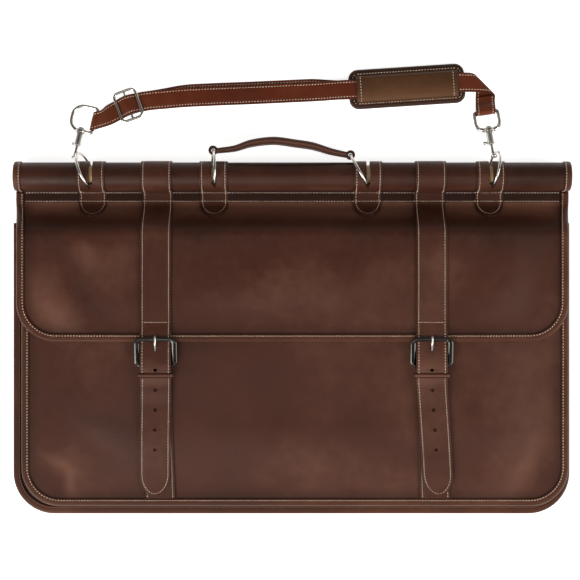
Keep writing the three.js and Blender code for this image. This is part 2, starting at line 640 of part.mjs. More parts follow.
function buckleFrame(x) {
  const [hy, hz, ry, rz] = [BUCKLE.hingeY, hingeZ(x), BUCKLE.restY, restZ(x)];
  const length = Math.hypot(ry - hy, rz - hz) / 2;
  const along = point(0, ry - hy, rz - hz).normalize();
  const corner = (sx, sy, radius, from) => steps(from, from + 90, 4).map(radians).map((a) =>
    [sx * (BUCKLE.half - radius) + radius * Math.cos(a), sy * (length - radius) + radius * Math.sin(a)]);
  const { corner: wide, hingeCorner: tight } = BUCKLE;
  const far = [...corner(1, 1, wide, 0), ...corner(-1, 1, wide, 90)];
  const outline = [...far, ...corner(-1, -1, tight, 180), ...corner(1, -1, tight, 270)];
  const middle = point(x, (hy + ry) / 2, (hz + rz) / 2);
  const points = outline.map(([a, b]) => middle.clone().add(point(a, 0, 0)).addScaledVector(along, b));
  const normal = new THREE.Vector3().crossVectors(point(1, 0, 0), along);
  return tube(points, BUCKLE.bar, 7, normal, true);
}

// Front strap: from the foot binding up to the buckle, round its hinge bar and back under itself
function frontStrapGeometry({ x, frontSkewDeg }) {
  const climb = [FRONT_STRAP.bottom, ...billetRows.toReversed()]
    .map((y) => ({ y, z: frontStrapMid(x, y) }));
  const wrap = steps(90, -90, 6).slice(1).map(radians)
    .map((a) => ({ y: BUCKLE.hingeY + wrapRadius * Math.cos(a), z: hingeZ(x) + wrapRadius * Math.sin(a) }));
  const back = [-92, -100, FRONT_STRAP.returnEnd]
    .map((y) => ({ y, z: panelTop(x, y) + PANEL_ROOM + PANEL / 2 }));
  const stations = rowNormals([...climb, ...wrap, ...back]).map((row) => ({
    at: point(x + Math.tan(radians(frontSkewDeg)) * Math.max(STRAP.skewFrom - row.y, 0), row.y, row.z),
    up: point(0, row.ny, row.nz),
    across: point(1, 0, 0),
    half: FRONT_STRAP.half,
  }));
  const { half, length } = PRONG_SLOT;
  const slot = box(point(x - half, BUCKLE.hingeY - length, hingeZ(x) - length),
    point(x + half, BUCKLE.hingeY + length, hingeZ(x) + length));
  return cut(strap(stations, PANEL), slot);
}

function keeperGeometry(x) {
  const z = panelTop(x, KEEPER.y) + KEEPER.lift;
  const t = KEEPER.leather;
  const from = (inset) => point(x - KEEPER.half - t + inset, KEEPER.y - KEEPER.width / 2 - inset, z + inset);
  const to = (inset) => point(x + KEEPER.half + t - inset, KEEPER.y + KEEPER.width / 2 + inset,
    z - KEEPER.lift + KEEPER.top + t - inset);
  return cut(box(from(0), to(0)), box(from(t), to(t)));
}

const ringEnd = (i) => point(0, RING.radius, 0).applyMatrix4(ringPlacement(RINGS[i]));

// Handle: a padded strap on edge, tapering to a flat eye round each handle ring
function handleGeometry() {
  const rows = HANDLE_SECTIONS;
  const frames = rows.map((row, i) => {
    const [before, after] = [rows[Math.max(i - 1, 0)], rows[Math.min(i + 1, rows.length - 1)]];
    const tangent = point(after.x - before.x, after.y - before.y, 0).normalize();
    return { row, normal: point(-tangent.y, tangent.x, 0) };
  });
  const quarter = [[0.5, 0.32], [0.28, 0.5]];
  const mirror = (pairs, a, b) => pairs.map(([u, v]) => [a * u, b * v]).reverse();
  const upper = [...quarter, ...mirror(quarter, -1, 1)];
  const shape = [...upper, ...mirror(upper, 1, -1)];
  const rings = frames.map(({ row, normal }) => shape.map(([a, b]) =>
    point(row.x, row.y, ROLL.z).addScaledVector(normal, a * row.thick).add(point(0, 0, b * row.tall))));
  const body = loft(rings, shape.map(([a, b]) => new THREE.Vector2(a, b)));
  const ringEnds = [1, 2].map(ringEnd);
  const { radius, tall } = HANDLE_EYE;
  const eyes = ringEnds.map((end) => new THREE.CylinderGeometry(radius, radius, tall, 10)
    .rotateX(Math.PI / 2).translate(end.x, end.y, end.z));
  const bores = [1, 2].map((i) => ringShape(HANDLE_EYE.hole).applyMatrix4(ringPlacement(RINGS[i])));
  return cut(join(body, ...eyes), ...bores);
}

// Frames of the two hooks: the eye's bar at the origin, Y along the hook to its claw, X to the claw's side.
const clawSeat = CLAW.y + CLAW.radius - CLAW.wire - CLAW.seat - RING.wire;

function hookFrame({ ring, rollDeg, yawDeg }) {
  const end = ringEnd(ring);
  const side = CLAW.x * Math.cos(radians(rollDeg));
  const lift = CLAW.x * Math.sin(radians(rollDeg));
  const slope = Math.asin((end.z - lift - HOOK_AXIS_Z) / clawSeat);
  const [turnX, turnY] = [Math.cos(radians(yawDeg)), Math.sin(radians(yawDeg))];
  const x = point(turnX, turnY, 0);
  const y = point(turnY * Math.cos(slope), -turnX * Math.cos(slope), Math.sin(slope));
  const z = new THREE.Vector3().crossVectors(x, y);
  const origin = end.clone().addScaledVector(x, -side).addScaledVector(y, -clawSeat).addScaledVector(z, lift);
  return { origin, x, y, z };
}

const [leftHook, rightHook] = HOOKS.map(hookFrame);
const EYE_WRAP = EYE.wire + 2.6 * GAP + SHOULDER_LEATHER / 2;
const leftBar = leftHook.origin.clone()
  .addScaledVector(leftHook.x, EYE.half).addScaledVector(leftHook.y, EYE.legs / 2);

// Shoulder strap in plan: its centre line, and the way across it to the left of its run
const routeCurve = new THREE.CatmullRomCurve3([
  point(leftBar.x - 8, leftBar.y - 3, 0),
  point(leftBar.x, leftBar.y, 0),
  ...ROUTE.map(({ x, y }) => point(x, y, 0)),
]);

function routeAt(x) {
  let [low, high] = [0, 1];
  for (let i = 0; i < 40; i++) {
    const middle = (low + high) / 2;
    if (routeCurve.getPoint(middle).x < x) low = middle;
    else high = middle;
  }
  const tangent = routeCurve.getTangent(low);
  return { at: routeCurve.getPoint(low), across: point(-tangent.y, tangent.x, 0).normalize() };
}

const slideAt = routeAt(SLIDE_X);
const slideEdge = SLIDE_X - SLIDE.reach - 2;

// Height of the long run: over the slide's middle bar, along on the tail, up into the pad and to the fold.
function runHeight(x) {
  const over = SLIDE.z + SLIDE.bar + GAP + SHOULDER_LEATHER / 2;
  const hump = (over - SHOULDER.runMid) * (1 - smooth(Math.abs(x - SLIDE_X), 1.5, SLIDE.reach - 2.5));
  const eyeTop = leftBar.z + EYE_WRAP;
  const toEye = (eyeTop - SHOULDER.runMid) * (1 - smooth(x, leftBar.x, slideEdge));
  const toPad = (SHOULDER.padMid - SHOULDER.runMid) * smooth(x, 22, 60);
  const foldTop = SHOULDER.floorMid + 2 * FOLD.radius;
  const fromPad = (SHOULDER.padMid - foldTop) * smooth(x, PAD_LEAVE.from, PAD_LEAVE.to);
  return SHOULDER.runMid + hump + toEye + toPad - fromPad;
}

const tailHeight = (x) => SHOULDER.floorMid + (SHOULDER.tailPadMid - SHOULDER.floorMid) * smooth(x, 24, 60)
  + (leftBar.z - EYE_WRAP - SHOULDER.floorMid) * (1 - smooth(x, leftBar.x, slideEdge));

// The strap as stations from its tail's end, round the left eye's leg, along its long run, under the diagonal
// fold by the pad and round the right eye's bar.
function shoulderStrapGeometry() {
  const wrap = EYE_WRAP;
  const level = (x) => smooth(x, leftBar.x + 2, slideEdge);
  const lay = (x, height, shift) => {
    const { at, across } = routeAt(x);
    const hung = leftHook.y.clone().negate().lerp(across, level(x)).normalize();
    return { at: at.clone().addScaledVector(across, shift).setZ(height), across: hung };
  };
  const leadXs = [-200, -207, -214];
  const tailShift = (x) => TAIL.shift * smooth(x, -170, -110) * (1 - smooth(x, 20, 60));
  const tailXs = [...steps(TAIL.end, 20, 6), ...steps(0, -160, 4), SLIDE_X, ...leadXs, leftBar.x];
  const tail = tailXs.map((x) => lay(x, tailHeight(x), tailShift(x)));
  const turn = steps(-90, -270, 6).slice(1, -1).map(radians).map((a) => ({
    at: leftBar.clone().add(point(wrap * Math.cos(a), 0, wrap * Math.sin(a))),
    across: leftHook.y.clone().negate(),
  }));
  const humpXs = steps(SLIDE_X - 12, SLIDE_X + 12, 8);
  const padXs = [...steps(20, 60, 4), 105, 150, ...steps(PAD_LEAVE.from, PAD_LEAVE.to, 3)];
  const runXs = [leftBar.x, ...leadXs.toReversed(), ...humpXs, ...steps(-150, -10, 3), ...padXs];
  const run = runXs.map((x) => lay(x, runHeight(x), 0));
  const line = [...tail, ...turn, ...run];
  const laid = line.map((s, i) => {
    const [before, after] = [line[Math.max(i - 1, 0)], line[Math.min(i + 1, line.length - 1)]];
    const tangent = after.at.clone().sub(before.at).normalize();
    return { ...s, up: new THREE.Vector3().crossVectors(tangent, s.across).normalize() };
  });

  const [down, out] = [point(1, -1, 0).normalize(), point(1, 1, 0).normalize()];
  const foldTop = SHOULDER.floorMid + 2 * FOLD.radius;
  const fold = steps(0, Math.PI, 6).map((a) => ({
    at: point(FOLD.x, FOLD.y, foldTop - FOLD.radius * (1 - Math.cos(a)))
      .addScaledVector(down, FOLD.radius * a).addScaledVector(out, FOLD.radius * Math.sin(a)),
    across: point(-1, 1, 0),
    up: out.clone().multiplyScalar(Math.sin(a)).add(point(0, 0, Math.cos(a))),
  }));

  const bar = rightHook.origin;
  const lowY = FOLD.y - SHOULDER.half - 5;
  const under = [[lowY, 0], [lerp(lowY, bar.y, 0.5), 0.55], [bar.y, 1]].map(([y, share]) =>
    ({ y, z: lerp(SHOULDER.floorMid, bar.z - wrap, share) }));
  const round = steps(-90, -270, 6).slice(1, -1).map(radians)
    .map((a) => ({ y: bar.y + wrap * Math.cos(a), z: bar.z + wrap * Math.sin(a) }));
  const rest = [[bar.y, 0], [bar.y + 4, 0.15], [bar.y + 8, 0.6], [RIGHT_RETURN_END, 1]].map(([y, share]) =>
    ({ y, z: lerp(bar.z + wrap, SHOULDER.floorMid + 2 * SHOULDER_LEATHER, share) }));
  const across = rightHook.x.clone().negate();
  const end = rowNormals([...under, ...round, ...rest]).map((row) =>
    ({ at: point(bar.x, row.y, row.z), up: point(0, row.ny, row.nz).negate(), across }));
  const stations = [...laid, ...fold, ...end].map((s) => ({ ...s, half: SHOULDER.half }));
  return strap(stations, SHOULDER_LEATHER);
}

// Shoulder pad: a cushion with rounded corners, and a cover arched over the strap
function padGroup() {
  const group = new THREE.Group();
  group.position.set(PAD.x, PAD.y, 0);
  group.rotation.z = radians(PAD.turnDeg);
  bag.add(group);
  const outline = (inset) =>
    roundedRectangle(PAD.length / 2 - inset, PAD.width / 2 - inset, PAD.corner - inset, 4);
  const rings = PAD_EASE.map(({ inset, z }) => outline(inset).map(([x, y]) => point(x, y, z)));
  const section = outline(0).map(([x, y]) => new THREE.Vector2(x, y));
  addPiece('shoulder_pad', loft(rings, section), padLeather, group);

  const foot = PAD.thick + GAP + COVER.leather / 2;
  const { half, archHalf, archMid, bend } = COVER;
  const arch = [[archHalf - bend, archMid], [archHalf, archMid - bend], [archHalf, foot + bend]];
  const right = [...arch, [archHalf + bend, foot], [half, foot]].map(([y, z]) => ({ y, z }));
  const line = [...right.map(({ y, z }) => ({ y: -y, z })).reverse(), ...right];
  const rows = rowNormals(line);
  const edge = (reach) => rows.map((r) => [r.y + reach * r.ny, r.z + reach * r.nz]);
  const ends = [-COVER.length / 2, COVER.length / 2].map((x) =>
    ({ at: point(x, 0, 0), along: point(0, 1, 0), up: point(0, 0, 1) }));
  const outside = [...edge(COVER.leather / 2), ...edge(-COVER.leather / 2).reverse()];
  addPiece('pad_cover', sweep(ends, outside), padLeather, group);
}

// Snap hook: a swivel eye, a barrel with a claw that turns in it, and a spring bolt with a thumb knob
function eyeGeometry() {
  const line = roundedRectangle(EYE.half, EYE.legs / 2, EYE.corner, 3)
    .map(([x, y]) => point(x, y + EYE.legs / 2, 0));
  const loop = tube(line, EYE.wire, 6, point(0, 0, 1), true);
  const base = rodAlongY(EYE_BASE.radius, EYE_BASE.from, EYE_BASE.to, 10);
  const { from, to, bore, tool } = EYE_BASE;
  return cut(join(loop, base), rodAlongY(bore, from - tool, to + tool, 10));
}

function hookBodyGeometry() {
  const post = rodAlongY(POST.radius, POST.headFrom, BARREL.boreFrom, 10);
  const head = rodAlongY(POST.head, POST.headFrom, POST.headTo, 10);
  const barrel = rodAlongY(BARREL.radius, BARREL.from, BARREL.to, 12);
  const clawArc = steps(CLAW.fromDeg, CLAW.toDeg, 10).map(radians)
    .map((a) => point(CLAW.x + CLAW.radius * Math.cos(a), CLAW.y + CLAW.radius * Math.sin(a), 0));
  const clawLine = [point(0, BARREL.to - 3, 0), ...clawArc, point(DISC.x, (DISC.from + DISC.to) / 2, 0)];
  const claw = tube(clawLine, CLAW.wire, 6, point(0, 0, 1));
  const disc = rodAlongY(DISC.radius, DISC.from, DISC.to, 10);
  const bore = rodAlongY(BARREL.bore, BARREL.boreFrom, DISC.from, 10);
  const slotHalf = KNOB.radius + GAP;
  const slot = box(point(-BARREL.radius - 1, KNOB.slotFrom, -slotHalf), point(0, KNOB.slotTo, slotHalf));
  return cut(join(post, head, barrel, claw, disc), bore, slot);
}

function boltGeometry() {
  const bolt = rodAlongY(BOLT.radius, BOLT.from, BOLT.to, 10);
  const knob = new THREE.CylinderGeometry(KNOB.radius, KNOB.radius, KNOB.reach, 8).rotateZ(Math.PI / 2)
    .translate(-KNOB.reach / 2, KNOB.y, 0);
  const button = new THREE.SphereGeometry(KNOB.button, 8, 5).translate(-KNOB.reach, KNOB.y, 0);
  return join(bolt, knob, button);
}

function addHook({ side, rollDeg }, { origin, x, y, z }) {
  const frame = new THREE.Group();
  frame.position.copy(origin);
  frame.setRotationFromMatrix(new THREE.Matrix4().makeBasis(x, y, z));
  bag.add(frame);
  const swivel = new THREE.Group();
  swivel.rotation.y = radians(rollDeg);
  frame.add(swivel);
  addPiece(`hook_eye_${side}`, eyeGeometry(), steel, frame);
  addPiece(`hook_body_${side}`, hookBodyGeometry(), steel, swivel);
  addPiece(`hook_bolt_${side}`, boltGeometry(), steel, swivel);
}

function slideGeometry() {
  const across = slideAt.across;
  const along = point(across.y, -across.x, 0);
  const outline = roundedRectangle(SLIDE.reach, SLIDE.half, SLIDE.corner, 3);
  const place = (a, b) =>
    slideAt.at.clone().addScaledVector(along, a).addScaledVector(across, b).setZ(SLIDE.z);
  const frame = tube(outline.map(([a, b]) => place(a, b)), SLIDE.bar, 6, point(0, 0, 1), true);
  const bar = tube([place(0, -SLIDE.half), place(0, SLIDE.half)], SLIDE.bar, 6, point(0, 0, 1));
  return join(frame, bar);
}

// Wooden rod inside the beam
function rodGeometry() {
  return new THREE.CylinderGeometry(ROD.radius, ROD.radius, 2 * ROD.half, 20).rotateZ(Math.PI / 2)
    .translate(FLAP.x, ROLL.y, ROLL.z);
}

addPiece('rod', rodGeometry(), wood);
addPiece('flap', cut(flapGeometry(), ...ringCutters, ...slitCutters), leather);
addPiece('flap_binding', flapBinding(), bindingLeather);
addPiece('beam_binding_left', rollBinding(-1), bindingLeather);
addPiece('beam_binding_right', rollBinding(1), bindingLeather);
addPiece('back_panel', backPanelGeometry(), leather);
const seamStack = PANEL / 2 + GAP + GUSSET_LEATHER;
addPiece('back_binding', flatBinding(BACK, BACK.sideTop, BACK_MID, seamStack, PANEL / 2), bindingLeather);
addPiece('front_panel', frontPanelGeometry(), leather);
addPiece('front_binding', flatBinding(FRONT, FRONT.top, FRONT_EDGE_MID, PANEL / 2, seamStack), bindingLeather);
addPiece('gusset', gussetGeometry(), leather);
for (const ring of RINGS) {
  const place = ring.name.replace('ring_', '');
  addPiece(`tab_${place}`, cut(tabGeometry(ring), ringCutter(ring), slitCutter(ring)), strapLeather);
  addPiece(ring.name, ringShape(RING.wire).applyMatrix4(ringPlacement(ring)), steel);
}
for (const closing of STRAPS) {
  addPiece(`closing_strap_${closing.side}`, closingStrapGeometry(closing), strapLeather);
  addPiece(`front_strap_${closing.side}`, frontStrapGeometry(closing), strapLeather);
  addPiece(`buckle_frame_${closing.side}`, buckleFrame(closing.x), steel);
  addPiece(`buckle_prong_${closing.side}`, prongTube(closing.x, PRONG.radius), steel);
  addPiece(`keeper_${closing.side}`, keeperGeometry(closing.x), strapLeather);
}
addPiece('handle', handleGeometry(), strapLeather);
addPiece('shoulder_strap', shoulderStrapGeometry(), shoulderLeather);
addPiece('strap_slide', slideGeometry(), steel);
padGroup();
addHook(HOOKS[0], leftHook);
addHook(HOOKS[1], rightHook);

export default bag;
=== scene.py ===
"""Leather hunting bag lying on its back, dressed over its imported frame.

Sizes are millimetres until a mesh is made. +X runs along the beam, +Y towards it, +Z up from the floor.
"""
import logging
import math
from dataclasses import dataclass, field
from enum import Enum
from typing import Callable, Iterable, Sequence

import bmesh
import bpy
import numpy as np
from mathutils import Matrix, Vector

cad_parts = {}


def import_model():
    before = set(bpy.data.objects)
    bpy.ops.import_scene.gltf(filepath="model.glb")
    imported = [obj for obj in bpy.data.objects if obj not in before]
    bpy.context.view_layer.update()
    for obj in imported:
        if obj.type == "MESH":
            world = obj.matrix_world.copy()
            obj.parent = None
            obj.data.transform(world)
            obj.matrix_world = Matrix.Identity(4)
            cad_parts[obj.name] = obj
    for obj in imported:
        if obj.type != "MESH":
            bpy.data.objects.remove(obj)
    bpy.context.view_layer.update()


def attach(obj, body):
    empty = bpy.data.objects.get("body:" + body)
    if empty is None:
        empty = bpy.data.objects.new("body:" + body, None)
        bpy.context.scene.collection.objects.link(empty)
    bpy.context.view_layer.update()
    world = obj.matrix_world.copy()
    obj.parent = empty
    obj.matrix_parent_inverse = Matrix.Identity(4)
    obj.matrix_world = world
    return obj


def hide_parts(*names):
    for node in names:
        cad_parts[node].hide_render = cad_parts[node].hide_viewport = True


LOG = logging.getLogger("hunting_bag")
MM = 0.001
WARM_WAX = "#ffebdf"
Array = np.ndarray
Piece = bpy.types.Object
Skin = tuple[Array, list[list[int]]]
X_WAY, Y_WAY, Z_WAY = np.eye(3)


def smooth(value: Array | float, start: float, end: float) -> Array:
    """Smooth step from 0 at start to 1 at end."""
    t = np.clip((np.asarray(value, float) - start) / (end - start), 0.0, 1.0)
    return t * t * (3.0 - 2.0 * t)


def mix(a: Array | float, b: Array | float, share: Array | float) -> Array:
    """Straight blend from a to b."""
    return np.asarray(a) + (np.asarray(b) - np.asarray(a)) * share


def unit(vectors: Array) -> Array:
    """Vectors at length one."""
    return vectors / np.maximum(np.linalg.norm(vectors, axis=-1, keepdims=True), 1e-12)


def columns(*parts: Array | float) -> Array:
    """Arrays and numbers side by side, as the columns of one array."""
    return np.stack(np.broadcast_arrays(*parts), axis=-1)


def arc(start: float, end: float, count: int, radius: float = 1.0, x: float = 0.0, y: float = 0.0) -> Array:
    """Points on an arc about x and y, from start to end in degrees."""
    a = np.radians(np.linspace(start, end, count))
    return columns(x + radius * np.cos(a), y + radius * np.sin(a))


def rounded(half_x: float, half_y: float, corner: float, steps: int) -> tuple[Array, Array]:
    """The outline of a rounded rectangle about the origin.

    Args:
        half_x: Half its width.
        half_y: Half its height.
        corner: Its corners' radius.
        steps: Points in a corner.

    Returns:
        Pairs of coordinates, and the directions outwards there.
    """
    out = [arc(start, start + 90, steps) for start in (0, 90, 180, 270)]
    sides = np.array([(1, 1), (-1, 1), (-1, -1), (1, -1)]) * [half_x - corner, half_y - corner]
    return np.concatenate([s + corner * o for s, o in zip(sides, out)]), np.concatenate(out)


def moved(x: float, y: float, z: float) -> Matrix:
    """A move, given in millimetres."""
    return Matrix.Translation(Vector((x, y, z)) * MM)


def turned_by(degrees: float, axis: str) -> Matrix:
    """A turn about an axis through the origin."""
    return Matrix.Rotation(math.radians(degrees), 4, axis)


def spline(points: Sequence[Sequence[float]], count: int) -> Array:
    """A smooth line through points.

    Args:
        points: What it passes through.
        count: How many points are wanted.

    Returns:
        The line's points.
    """
    p = np.asarray(points, float)
    p = np.vstack([2 * p[0] - p[1], p, 2 * p[-1] - p[-2]])
    at = np.linspace(0, len(p) - 3 - 1e-9, count)
    i = at.astype(int)
    t = (at - i)[:, None]
    a, b, c, d = p[i], p[i + 1], p[i + 2], p[i + 3]
    square, cube = 2 * a - 5 * b + 4 * c - d, 3 * b - a - 3 * c + d
    return 0.5 * (2 * b + (c - a) * t + square * t**2 + cube * t**3)


def through(xs: Sequence[float], ys: Sequence[float], at: Array) -> Array:
    """A smooth curve y(x) through knots.

    Args:
        xs: Rising places of the knots.
        ys: Their values.
        at: The places that are wanted.

    Returns:
        The values there.
    """
    xs, ys = np.asarray(xs, float), np.asarray(ys, float)
    slope = np.gradient(ys, xs)
    i = np.clip(np.searchsorted(xs, at) - 1, 0, len(xs) - 2)
    h = xs[i + 1] - xs[i]
    t = (at - xs[i]) / h
    return (ys[i] * (1 + 2 * t) * (1 - t) ** 2 + h * slope[i] * t * (1 - t) ** 2
            + ys[i + 1] * t * t * (3 - 2 * t) + h * slope[i + 1] * t * t * (t - 1))


def row_normals(rows: Array) -> Array:
    """Normals (y, z) of a section given as rows of (y, z), on the left of its reversed run."""
    step = np.vstack([rows[1:], rows[-1:]]) - np.vstack([rows[:1], rows[:-1]])
    return unit(columns(step[:, 1], -step[:, 0]))


def hex_colour(code: str) -> tuple[float, float, float, float]:
    """An sRGB hex colour as linear light.

    Args:
        code: Six hex digits after a hash.

    Returns:
        Red, green, blue and alpha.
    """
    parts = [int(code[i:i + 2], 16) / 255 for i in (1, 3, 5)]
    light = [c / 12.92 if c <= 0.04045 else ((c + 0.055) / 1.055) ** 2.4 for c in parts]
    return (light[0], light[1], light[2], 1.0)


def add_node(tree: bpy.types.NodeTree, kind: str, inputs: dict | None = None,
             **settings: str) -> bpy.types.Node:
    """Adds a node with its settings and links.

    Args:
        tree: The node tree.
        kind: The node's type, after the words that all of them start with.
        inputs: Values, sockets or nodes for its inputs, by name or number. A node gives its first output.
        settings: Its properties.

    Returns:
        The node.
    """
    node = tree.nodes.new("ShaderNode" + kind)
    for key, value in settings.items():
        setattr(node, key, value)
    for key, value in (inputs or {}).items():
        source = value.outputs[0] if isinstance(value, bpy.types.Node) else value
        if isinstance(source, bpy.types.NodeSocket):
            tree.links.new(source, node.inputs[key])
        else:
            node.inputs[key].default_value = source
    return node


class Finish:
    """What a piece is made of, with the frame's slot that it fills."""

    name: str
    slot: str

    def material(self) -> bpy.types.Material:
        """The finish's material, made once.

        Returns:
            The material, found by its name after the first time.
        """
        if self.name in bpy.data.materials:
            return bpy.data.materials[self.name]
        material = bpy.data.materials.new(self.name)
        material.use_nodes = True
        tree = material.node_tree
        tree.nodes.clear()
        shader = add_node(tree, "BsdfPrincipled", self.surface(tree))
        add_node(tree, "OutputMaterial", {"Surface": shader})
        return material

    def surface(self, tree: bpy.types.NodeTree) -> dict:
        """The shader's inputs, once the nodes that feed them are in the tree."""
        raise NotImplementedError


@dataclass(frozen=True)
class Leather(Finish):
    """Waxed full-grain cowhide, drum-dyed and rolled: deep brown, paler where pulled, darker at edges, with
    painted highlights and shade from the marks on its points.
    """

    name: str
    slot: str
    deep: str
    body: str
    # The palest colour, that of pulled leather and of the painted highlights.
    pulled: str
    edge: str
    roughness: float = 0.46
    grain_mm: float = 1.5
    grain: float = 0.22

    def surface(self, tree: bpy.types.NodeTree) -> dict:
        """Toned by patina and by the marks on its points, which hold pulled leather's paleness, cut edges and
        painted highlights and shade; pebbled and creased.

        Args:
            tree: The node tree.

        Returns:
            The shader's inputs.
        """
        place = add_node(tree, "TexCoord").outputs["Object"]
        cloud = add_node(tree, "TexNoise", {"Vector": place, "Scale": 1 / 0.1, "Detail": 3.0,
                                            "Roughness": 0.55})
        mottle = add_node(tree, "TexNoise", {"Vector": place, "Scale": 1 / 0.011, "Detail": 4.0,
                                             "Roughness": 0.6})
        pull_and_painted_light = add_node(tree, "Attribute", attribute_name="pull_and_painted_light").outputs["Fac"]
        edge = add_node(tree, "Attribute", attribute_name="edge").outputs["Fac"]
        # Patina drifts over a hand's width, with a finer mottle where wax has moved
        tone = add_node(tree, "Math", {0: cloud, 1: 0.8, 2: 0.0}, operation="MULTIPLY_ADD")
        tone = add_node(tree, "Math", {0: mottle, 1: 0.2, 2: tone}, operation="MULTIPLY_ADD")
        # The marks on the points add pulled leather's paleness and darken cut edges, and they also paint
        # highlights and shade onto the leather.
        tone = add_node(tree, "Math", {0: tone, 1: pull_and_painted_light}, operation="ADD")
        ramp = add_node(tree, "ValToRGB", {"Fac": tone})
        stops = ramp.color_ramp.elements
        stops[0].position, stops[0].color = 0.08, hex_colour(self.deep)
        stops[1].position, stops[1].color = 0.98, hex_colour(self.pulled)
        stops.new(0.52).color = hex_colour(self.body)
        colour = add_node(tree, "Mix", {0: edge, 6: ramp, 7: hex_colour(self.edge)}, data_type="RGBA")
        # Pebbled grain between pores, drawn a little coarser than cowhide's so that it shows
        cells = add_node(tree, "TexVoronoi", {"Vector": place, "Scale": 1000 / self.grain_mm,
                                              "Smoothness": 0.6}, feature="SMOOTH_F1")
        pores = add_node(tree, "TexNoise", {"Vector": place, "Scale": 1 / 0.0006, "Detail": 2.0})
        creases = add_node(tree, "TexNoise", {"Vector": place, "Scale": 1 / 0.007, "Detail": 5.0,
                                              "Roughness": 0.62, "Distortion": 0.8})
        height = add_node(tree, "Math", {0: pores, 1: 0.35, 2: cells}, operation="MULTIPLY_ADD")
        fine = add_node(tree, "Bump", {"Strength": self.grain, "Distance": 0.0003, "Height": height})
        bump = add_node(tree, "Bump", {"Strength": 0.13, "Distance": 0.0011, "Height": creases,
                                       "Normal": fine})
        rough = add_node(tree, "MapRange", {"Value": mottle, "From Min": 0.3, "From Max": 0.7,
                                            "To Min": self.roughness - 0.07, "To Max": self.roughness + 0.09})
        return {"Base Color": colour.outputs[2], "Roughness": rough, "IOR": 1.5, "Specular IOR Level": 0.32,
                "Specular Tint": hex_colour(WARM_WAX), "Normal": bump}


@dataclass(frozen=True)
class Nickel(Finish):
    """Nickel-plated steel, cast or drawn and then polished: a warm grey mirror with fine rub marks."""

    name: str = "nickel_plate"
    slot: str = "nickel"
    bright: str = "#ece9e3"
    worn: str = "#c4bfb6"
    roughness: float = 0.14

    def surface(self, tree: bpy.types.NodeTree) -> dict:
        """Duller where it is handled, with rub marks drawn out one way.

        Args:
            tree: The node tree.

        Returns:
            The shader's inputs.
        """
        place = add_node(tree, "TexCoord").outputs["Object"]
        handled = add_node(tree, "TexNoise", {"Vector": place, "Scale": 1 / 0.009, "Detail": 3.0})
        # Rub marks a fifth of a millimetre apart, stretched along X
        drawn = add_node(tree, "Mapping", {"Vector": place, "Scale": (0.15, 1.0, 1.0)})
        marks = add_node(tree, "TexNoise", {"Vector": drawn, "Scale": 1 / 0.0002, "Detail": 2.0})
        colour = add_node(tree, "Mix", {0: handled, 6: hex_colour(self.bright), 7: hex_colour(self.worn)},
                          data_type="RGBA")
        rough = add_node(tree, "MapRange", {"Value": handled, "From Min": 0.3, "From Max": 0.75,
                                            "To Min": self.roughness - 0.05, "To Max": self.roughness + 0.12})
        bump = add_node(tree, "Bump", {"Strength": 0.06, "Distance": 0.0001, "Height": marks})
        return {"Base Color": colour.outputs[2], "Metallic": 1.0, "Roughness": rough, "Normal": bump}


@dataclass(frozen=True)
class Beech(Finish):
    """Beech dowel, sanded and left raw: pale straw with short brown flecks along the grain."""

    name: str = "raw_beech"
    slot: str = "rod_wood"
    pale: str = "#ffe0a8"
    dark: str = "#dcae6c"

    def surface(self, tree: bpy.types.NodeTree) -> dict:
        """Grained and flecked along the rod.

        Args:
            tree: The node tree.

        Returns:
            The shader's inputs.
        """
        place = add_node(tree, "TexCoord").outputs["Object"]
        # Grain lines about 1.2 mm apart, drawn out along the rod
        drawn = add_node(tree, "Mapping", {"Vector": place, "Scale": (0.06, 1.0, 1.0)})
        grain = add_node(tree, "TexNoise", {"Vector": drawn, "Scale": 1 / 0.0012, "Detail": 4.0})
        fleck = add_node(tree, "TexVoronoi", {"Vector": drawn, "Scale": 1 / 0.0016})
        share = add_node(tree, "Math", {0: grain, 1: fleck}, operation="MULTIPLY")
        colour = add_node(tree, "Mix", {0: share, 6: hex_colour(self.pale), 7: hex_colour(self.dark)},
                          data_type="RGBA")
        rough = add_node(tree, "MapRange", {"Value": grain, "To Min": 0.5, "To Max": 0.68})
        bump = add_node(tree, "Bump", {"Strength": 0.15, "Distance": 0.0002, "Height": grain})
        return {"Base Color": colour.outputs[2], "Roughness": rough, "IOR": 1.5, "Normal": bump}


@dataclass(frozen=True)
class WaxedThread(Finish):
    """Waxed cotton saddler's thread, twisted: cream, dull, a little soiled."""

    name: str = "waxed_thread"
    slot: str = ""
    clean: str = "#f3e2cb"
    soiled: str = "#cbae90"

    def surface(self, tree: bpy.types.NodeTree) -> dict:
        """Soiled in places, with its plies showing.

        Args:
            tree: The node tree.

        Returns:
            The shader's inputs.
        """
        place = add_node(tree, "TexCoord").outputs["Object"]
        soil = add_node(tree, "TexNoise", {"Vector": place, "Scale": 1 / 0.006, "Detail": 3.0})
        # Two plies turn every half millimetre
        plies = add_node(tree, "TexWave", {"Vector": place, "Scale": 320.0, "Distortion": 1.0},
                         bands_direction="DIAGONAL")
        share = add_node(tree, "MapRange", {"Value": soil, "From Min": 0.38, "From Max": 0.7})
        colour = add_node(tree, "Mix", {0: share, 6: hex_colour(self.clean), 7: hex_colour(self.soiled)},
                          data_type="RGBA")
        bump = add_node(tree, "Bump", {"Strength": 0.3, "Distance": 0.0002, "Height": plies.outputs["Fac"]})
        rough = add_node(tree, "MapRange", {"Value": soil, "To Min": 0.62, "To Max": 0.8})
        return {"Base Color": colour.outputs[2], "Roughness": rough, "IOR": 1.48, "Normal": bump}


